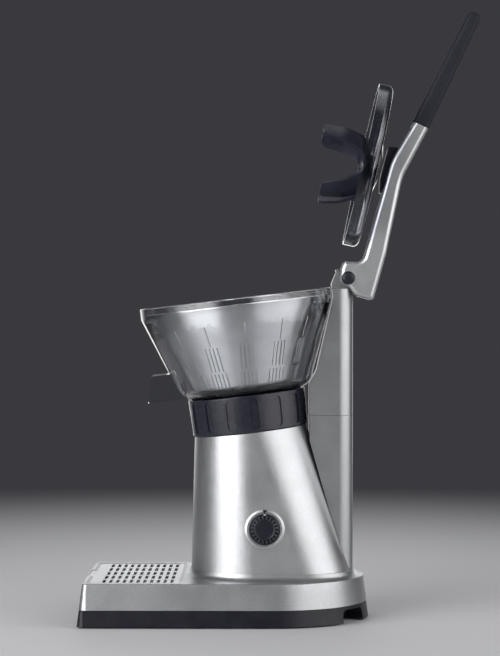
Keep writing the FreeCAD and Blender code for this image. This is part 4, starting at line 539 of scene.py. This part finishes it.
def repeated(mesh, tree, settings):
    """The plain mesh that a node tree makes of a mesh, with the tree's inputs set by their names."""
    holder = bpy.data.objects.new(mesh.name, mesh)
    scene.collection.objects.link(holder)
    modifier = holder.modifiers.new("repeat", "NODES")
    modifier.node_group = tree
    for socket in tree.interface.items_tree:
        if socket.in_out == "INPUT" and socket.name in settings:
            modifier[socket.identifier] = settings[socket.name]
    made = bpy.data.meshes.new_from_object(holder.evaluated_get(bpy.context.evaluated_depsgraph_get()))
    bpy.data.objects.remove(holder)
    return made


def straight_nose(mesh):
    """Draws the column's tapered nose out to its full width, so that its sides run flat to the front."""
    taper = (COLUMN_HALF_Y - NOSE_HALF_Y) / (NOSE_FLANK_X - NOSE_FRONT_X)
    for vertex in mesh.vertices:
        x, y = vertex.co.x / MM, abs(vertex.co.y) / MM
        if x > NOSE_FLANK_X + NOSE_BEHIND or y < NOSE_MIDDLE:
            continue
        outer = COLUMN_HALF_Y - max(0, NOSE_FLANK_X - x) * taper
        if abs(y - outer) < OUTER_REACH:
            wide = COLUMN_HALF_Y
        elif abs(y - outer + COLUMN_WALL) < INNER_REACH:
            wide = COLUMN_HALF_Y - COLUMN_WALL
        else:
            wide = y * COLUMN_HALF_Y / outer
        vertex.co.y = math.copysign(wide * MM, vertex.co.y)


# Pieces


def piece_of(name, mesh, body, finish=None, nodes=()):
    """An object from a mesh in its place, evenly shaded, that moves with a body and stands for nodes."""
    if finish:
        mesh.materials.clear()
        mesh.materials.append(finish)
    piece = bpy.data.objects.new(name, mesh)
    scene.collection.objects.link(piece)
    even = piece.modifiers.new("even_shading", "WEIGHTED_NORMAL")
    even.mode = "FACE_AREA"
    even.keep_sharp = True
    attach(piece, body)
    if nodes:
        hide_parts(*nodes)


def dressed(node, slot):
    """A smooth-shaded copy of a solid's skin, in its finish, in the place of the node."""
    source = frame["nodes"][node]
    mesh = source.data.copy()
    if node in ("column_lower", "column_cover"):
        straight_nose(mesh)
    smoothed(mesh)
    finish = OWN_FINISH.get(node, FINISHES[slot])
    piece_of(f"{node}_skin", mesh, source["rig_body"], finish, [node])


def on_joint(mesh, joint, out=1.0):
    """Sets a mesh made round Z on a joint's axis, facing along it or, with out at -1, against it."""
    axis = Vector(JOINTS[joint]["axis"]) * out
    across = Vector((1, 0, 0))
    turn = Matrix((across, axis.cross(across), axis)).transposed().to_4x4()
    mesh.transform(Matrix.Translation(JOINTS[joint]["pos_m"]) @ turn)
    return mesh


def speed_dial():
    """The dial's ring with its round crest and its pointer, and the knob with its ribs and its mark."""
    stand = frame["nodes"]["dial_bezel"]["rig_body"]
    knob = frame["nodes"]["dial_knob"]["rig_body"]
    ring = on_joint(turned("dial_ring", rounded(RING_PROFILE)), "dial_turn")
    piece_of("dial_ring", ring, stand, FINISHES["bezel_silver"], ["dial_bezel"])
    pointer = on_joint(solid("dial_pointer", POINTER_OUTLINE, RING_CREST), "dial_turn")
    piece_of("dial_pointer", pointer, stand, POINTER_FINISH)
    core = on_joint(turned("knob_core", rounded(KNOB_PROFILE)), "dial_turn")
    piece_of("knob_core", core, knob, FINISHES["dial_black"], ["dial_knob"])
    between_ribs = math.pi / KNOB_RIBS
    settings = {"Count": KNOB_RIBS, "First turn": between_ribs, "Finish": RIB_PAINTED_HIGHLIGHT}
    ribs = on_joint(repeated(knob_rib(), round_the_axis(), settings), "dial_turn")
    piece_of("knob_ribs", ribs, knob)
    mark = on_joint(solid("knob_mark", MARK_OUTLINE, MARK_THICKNESS), "dial_turn")
    piece_of("knob_mark", mark, knob, MARK_FINISH)


def hinge_buttons():
    """The domed caps over both ends of the hinge pin, as large as the solid's plain ones."""
    body = frame["nodes"]["hinge_caps"]["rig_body"]
    low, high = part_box("hinge_caps")
    reach = (high[1] - low[1]) / 2 / MM
    radius = (high[0] - low[0]) / 2 / MM
    profile = [(share * radius, reach - depth, *rounding) for share, depth, *rounding in BUTTON_PROFILE]
    both = bmesh.new()
    for side in (-1, 1):
        button = turned("hinge_button", rounded(profile, steps=6), steps=72)
        both.from_mesh(on_joint(button, "arm_hinge", side))
    mesh = bpy.data.meshes.new("hinge_buttons")
    both.to_mesh(mesh)
    both.free()
    piece_of("hinge_buttons", mesh, body, FINISHES["black_plastic"], ["hinge_caps"])


OWN_FORM = {"dial_bezel", "dial_knob", "hinge_caps"}
for part in frame["record"]["subparts"]:
    if part["node"] not in OWN_FORM:
        dressed(part["node"], part["material_slot"])
speed_dial()
hinge_buttons()


# Floor, light and camera


def studio_floor():
    """A pale matt table top that passes, well away from the press, into the even shade of the backdrop."""
    material, tree, place = new_finish("pale_table")
    away = add(tree, "ShaderNodeVectorMath", {"operation": "LENGTH"}, {0: place}).outputs["Value"]
    start, end = TABLE_FADE
    span = {"Value": away, "From Min": start, "From Max": end}
    fade = add(tree, "ShaderNodeMapRange", {"interpolation_type": "SMOOTHERSTEP"}, span)
    matt = add(tree, "ShaderNodeBsdfPrincipled", inputs={"Base Color": colour("#bfbfc1"), "Roughness": 0.7})
    shade = add(tree, "ShaderNodeEmission", inputs={"Color": colour(BACKDROP)})
    layers = {0: fade.outputs["Result"], 1: matt.outputs[0], 2: shade.outputs[0]}
    mix = add(tree, "ShaderNodeMixShader", inputs=layers)
    add(tree, "ShaderNodeOutputMaterial", inputs={"Surface": mix.outputs[0]})
    mesh = bpy.data.meshes.new("studio_floor")
    corners = [(x * TABLE_HALF, y * TABLE_HALF, 0) for x, y in ((-1, -1), (1, -1), (1, 1), (-1, 1))]
    mesh.from_pydata(corners, [], [(0, 1, 2, 3)])
    mesh.materials.append(material)
    floor = bpy.data.objects.new("studio_floor", mesh)
    scene.collection.objects.link(floor)


def soft_edged(tree):
    """Fades a lamp out towards its four edges, so that it leaves no hard line in a reflection."""
    across = add(tree, "ShaderNodeNewGeometry").outputs["Parametric"]
    sides = add(tree, "ShaderNodeSeparateXYZ", inputs={"Vector": across}).outputs
    falloff = []
    for side in ("X", "Y"):
        off_centre = add(tree, "ShaderNodeMath", {"operation": "SUBTRACT"}, {0: sides[side], 1: 0.5})
        away = add(tree, "ShaderNodeMath", {"operation": "ABSOLUTE"}, {0: off_centre.outputs[0]})
        span = {"From Min": LAMP_EVEN, "From Max": LAMP_EDGE, "To Min": 1.0, "To Max": 0.0}
        span["Value"] = away.outputs[0]
        edge = add(tree, "ShaderNodeMapRange", {"interpolation_type": "SMOOTHSTEP"}, span)
        falloff.append(edge.outputs["Result"])
    power = add(tree, "ShaderNodeMath", {"operation": "MULTIPLY"}, {0: falloff[0], 1: falloff[1]})
    tree.links.new(power.outputs[0], tree.nodes["Emission"].inputs["Strength"])


def softbox(name, bearing, height, distance, width, tall, radiance):
    """A rectangular soft light, in metres. Its bearing is in degrees to the right of the camera's side."""
    light = bpy.data.lights.new(name, "AREA")
    light.shape = "RECTANGLE"
    light.size = width
    light.size_y = tall
    light.energy = math.pi * width * tall * radiance
    light.use_nodes = True
    soft_edged(light.node_tree)
    lamp = bpy.data.objects.new(name, light)
    turn = math.radians(bearing)
    out = Vector((distance * math.sin(turn), -distance * math.cos(turn), height - LAMPS_AIM.z))
    lamp.location = LAMPS_AIM + out
    lamp.rotation_euler = (LAMPS_AIM - lamp.location).to_track_quat("-Z", "Y").to_euler()
    scene.collection.objects.link(lamp)
    return lamp


def studio_light():
    """Tall boxes left and right for the bands on the silver, one above, and a low one behind for the rims."""
    softbox("left_box", bearing=-47, height=0.7, distance=1.7, width=2.2, tall=2.8, radiance=4.8)
    softbox("right_box", bearing=61, height=0.7, distance=1.8, width=3.7, tall=2.8, radiance=2.3)
    softbox("top_box", bearing=180, height=1.9, distance=0.4, width=2.0, tall=1.8, radiance=1.1)
    back = softbox("back_box", bearing=180, height=0.35, distance=1.6, width=3.0, tall=1.2, radiance=1.6)
    back.visible_camera = False
    back.visible_transmission = False
    world = bpy.data.worlds.new("studio_dark")
    world.use_nodes = True
    backdrop = world.node_tree.nodes["Background"].inputs
    backdrop["Color"].default_value = colour(BACKDROP)
    backdrop["Strength"].default_value = 1.0
    scene.world = world


def camera():
    """The photograph's camera. Its sensor's length lies along the picture's longer side, the height."""
    data = bpy.data.cameras.new("camera")
    data.sensor_width = SENSOR_MM
    data.lens = FOCAL_PX * SENSOR_MM / PICTURE_HEIGHT_PX
    eye = bpy.data.objects.new("camera", data)
    eye.location = CAMERA_AT
    eye.rotation_euler = (CAMERA_LOOKS_AT - CAMERA_AT).to_track_quat("-Z", "Y").to_euler()
    scene.collection.objects.link(eye)
    scene.camera = eye


studio_floor()
studio_light()
camera()
scene.view_settings.view_transform = "Standard"
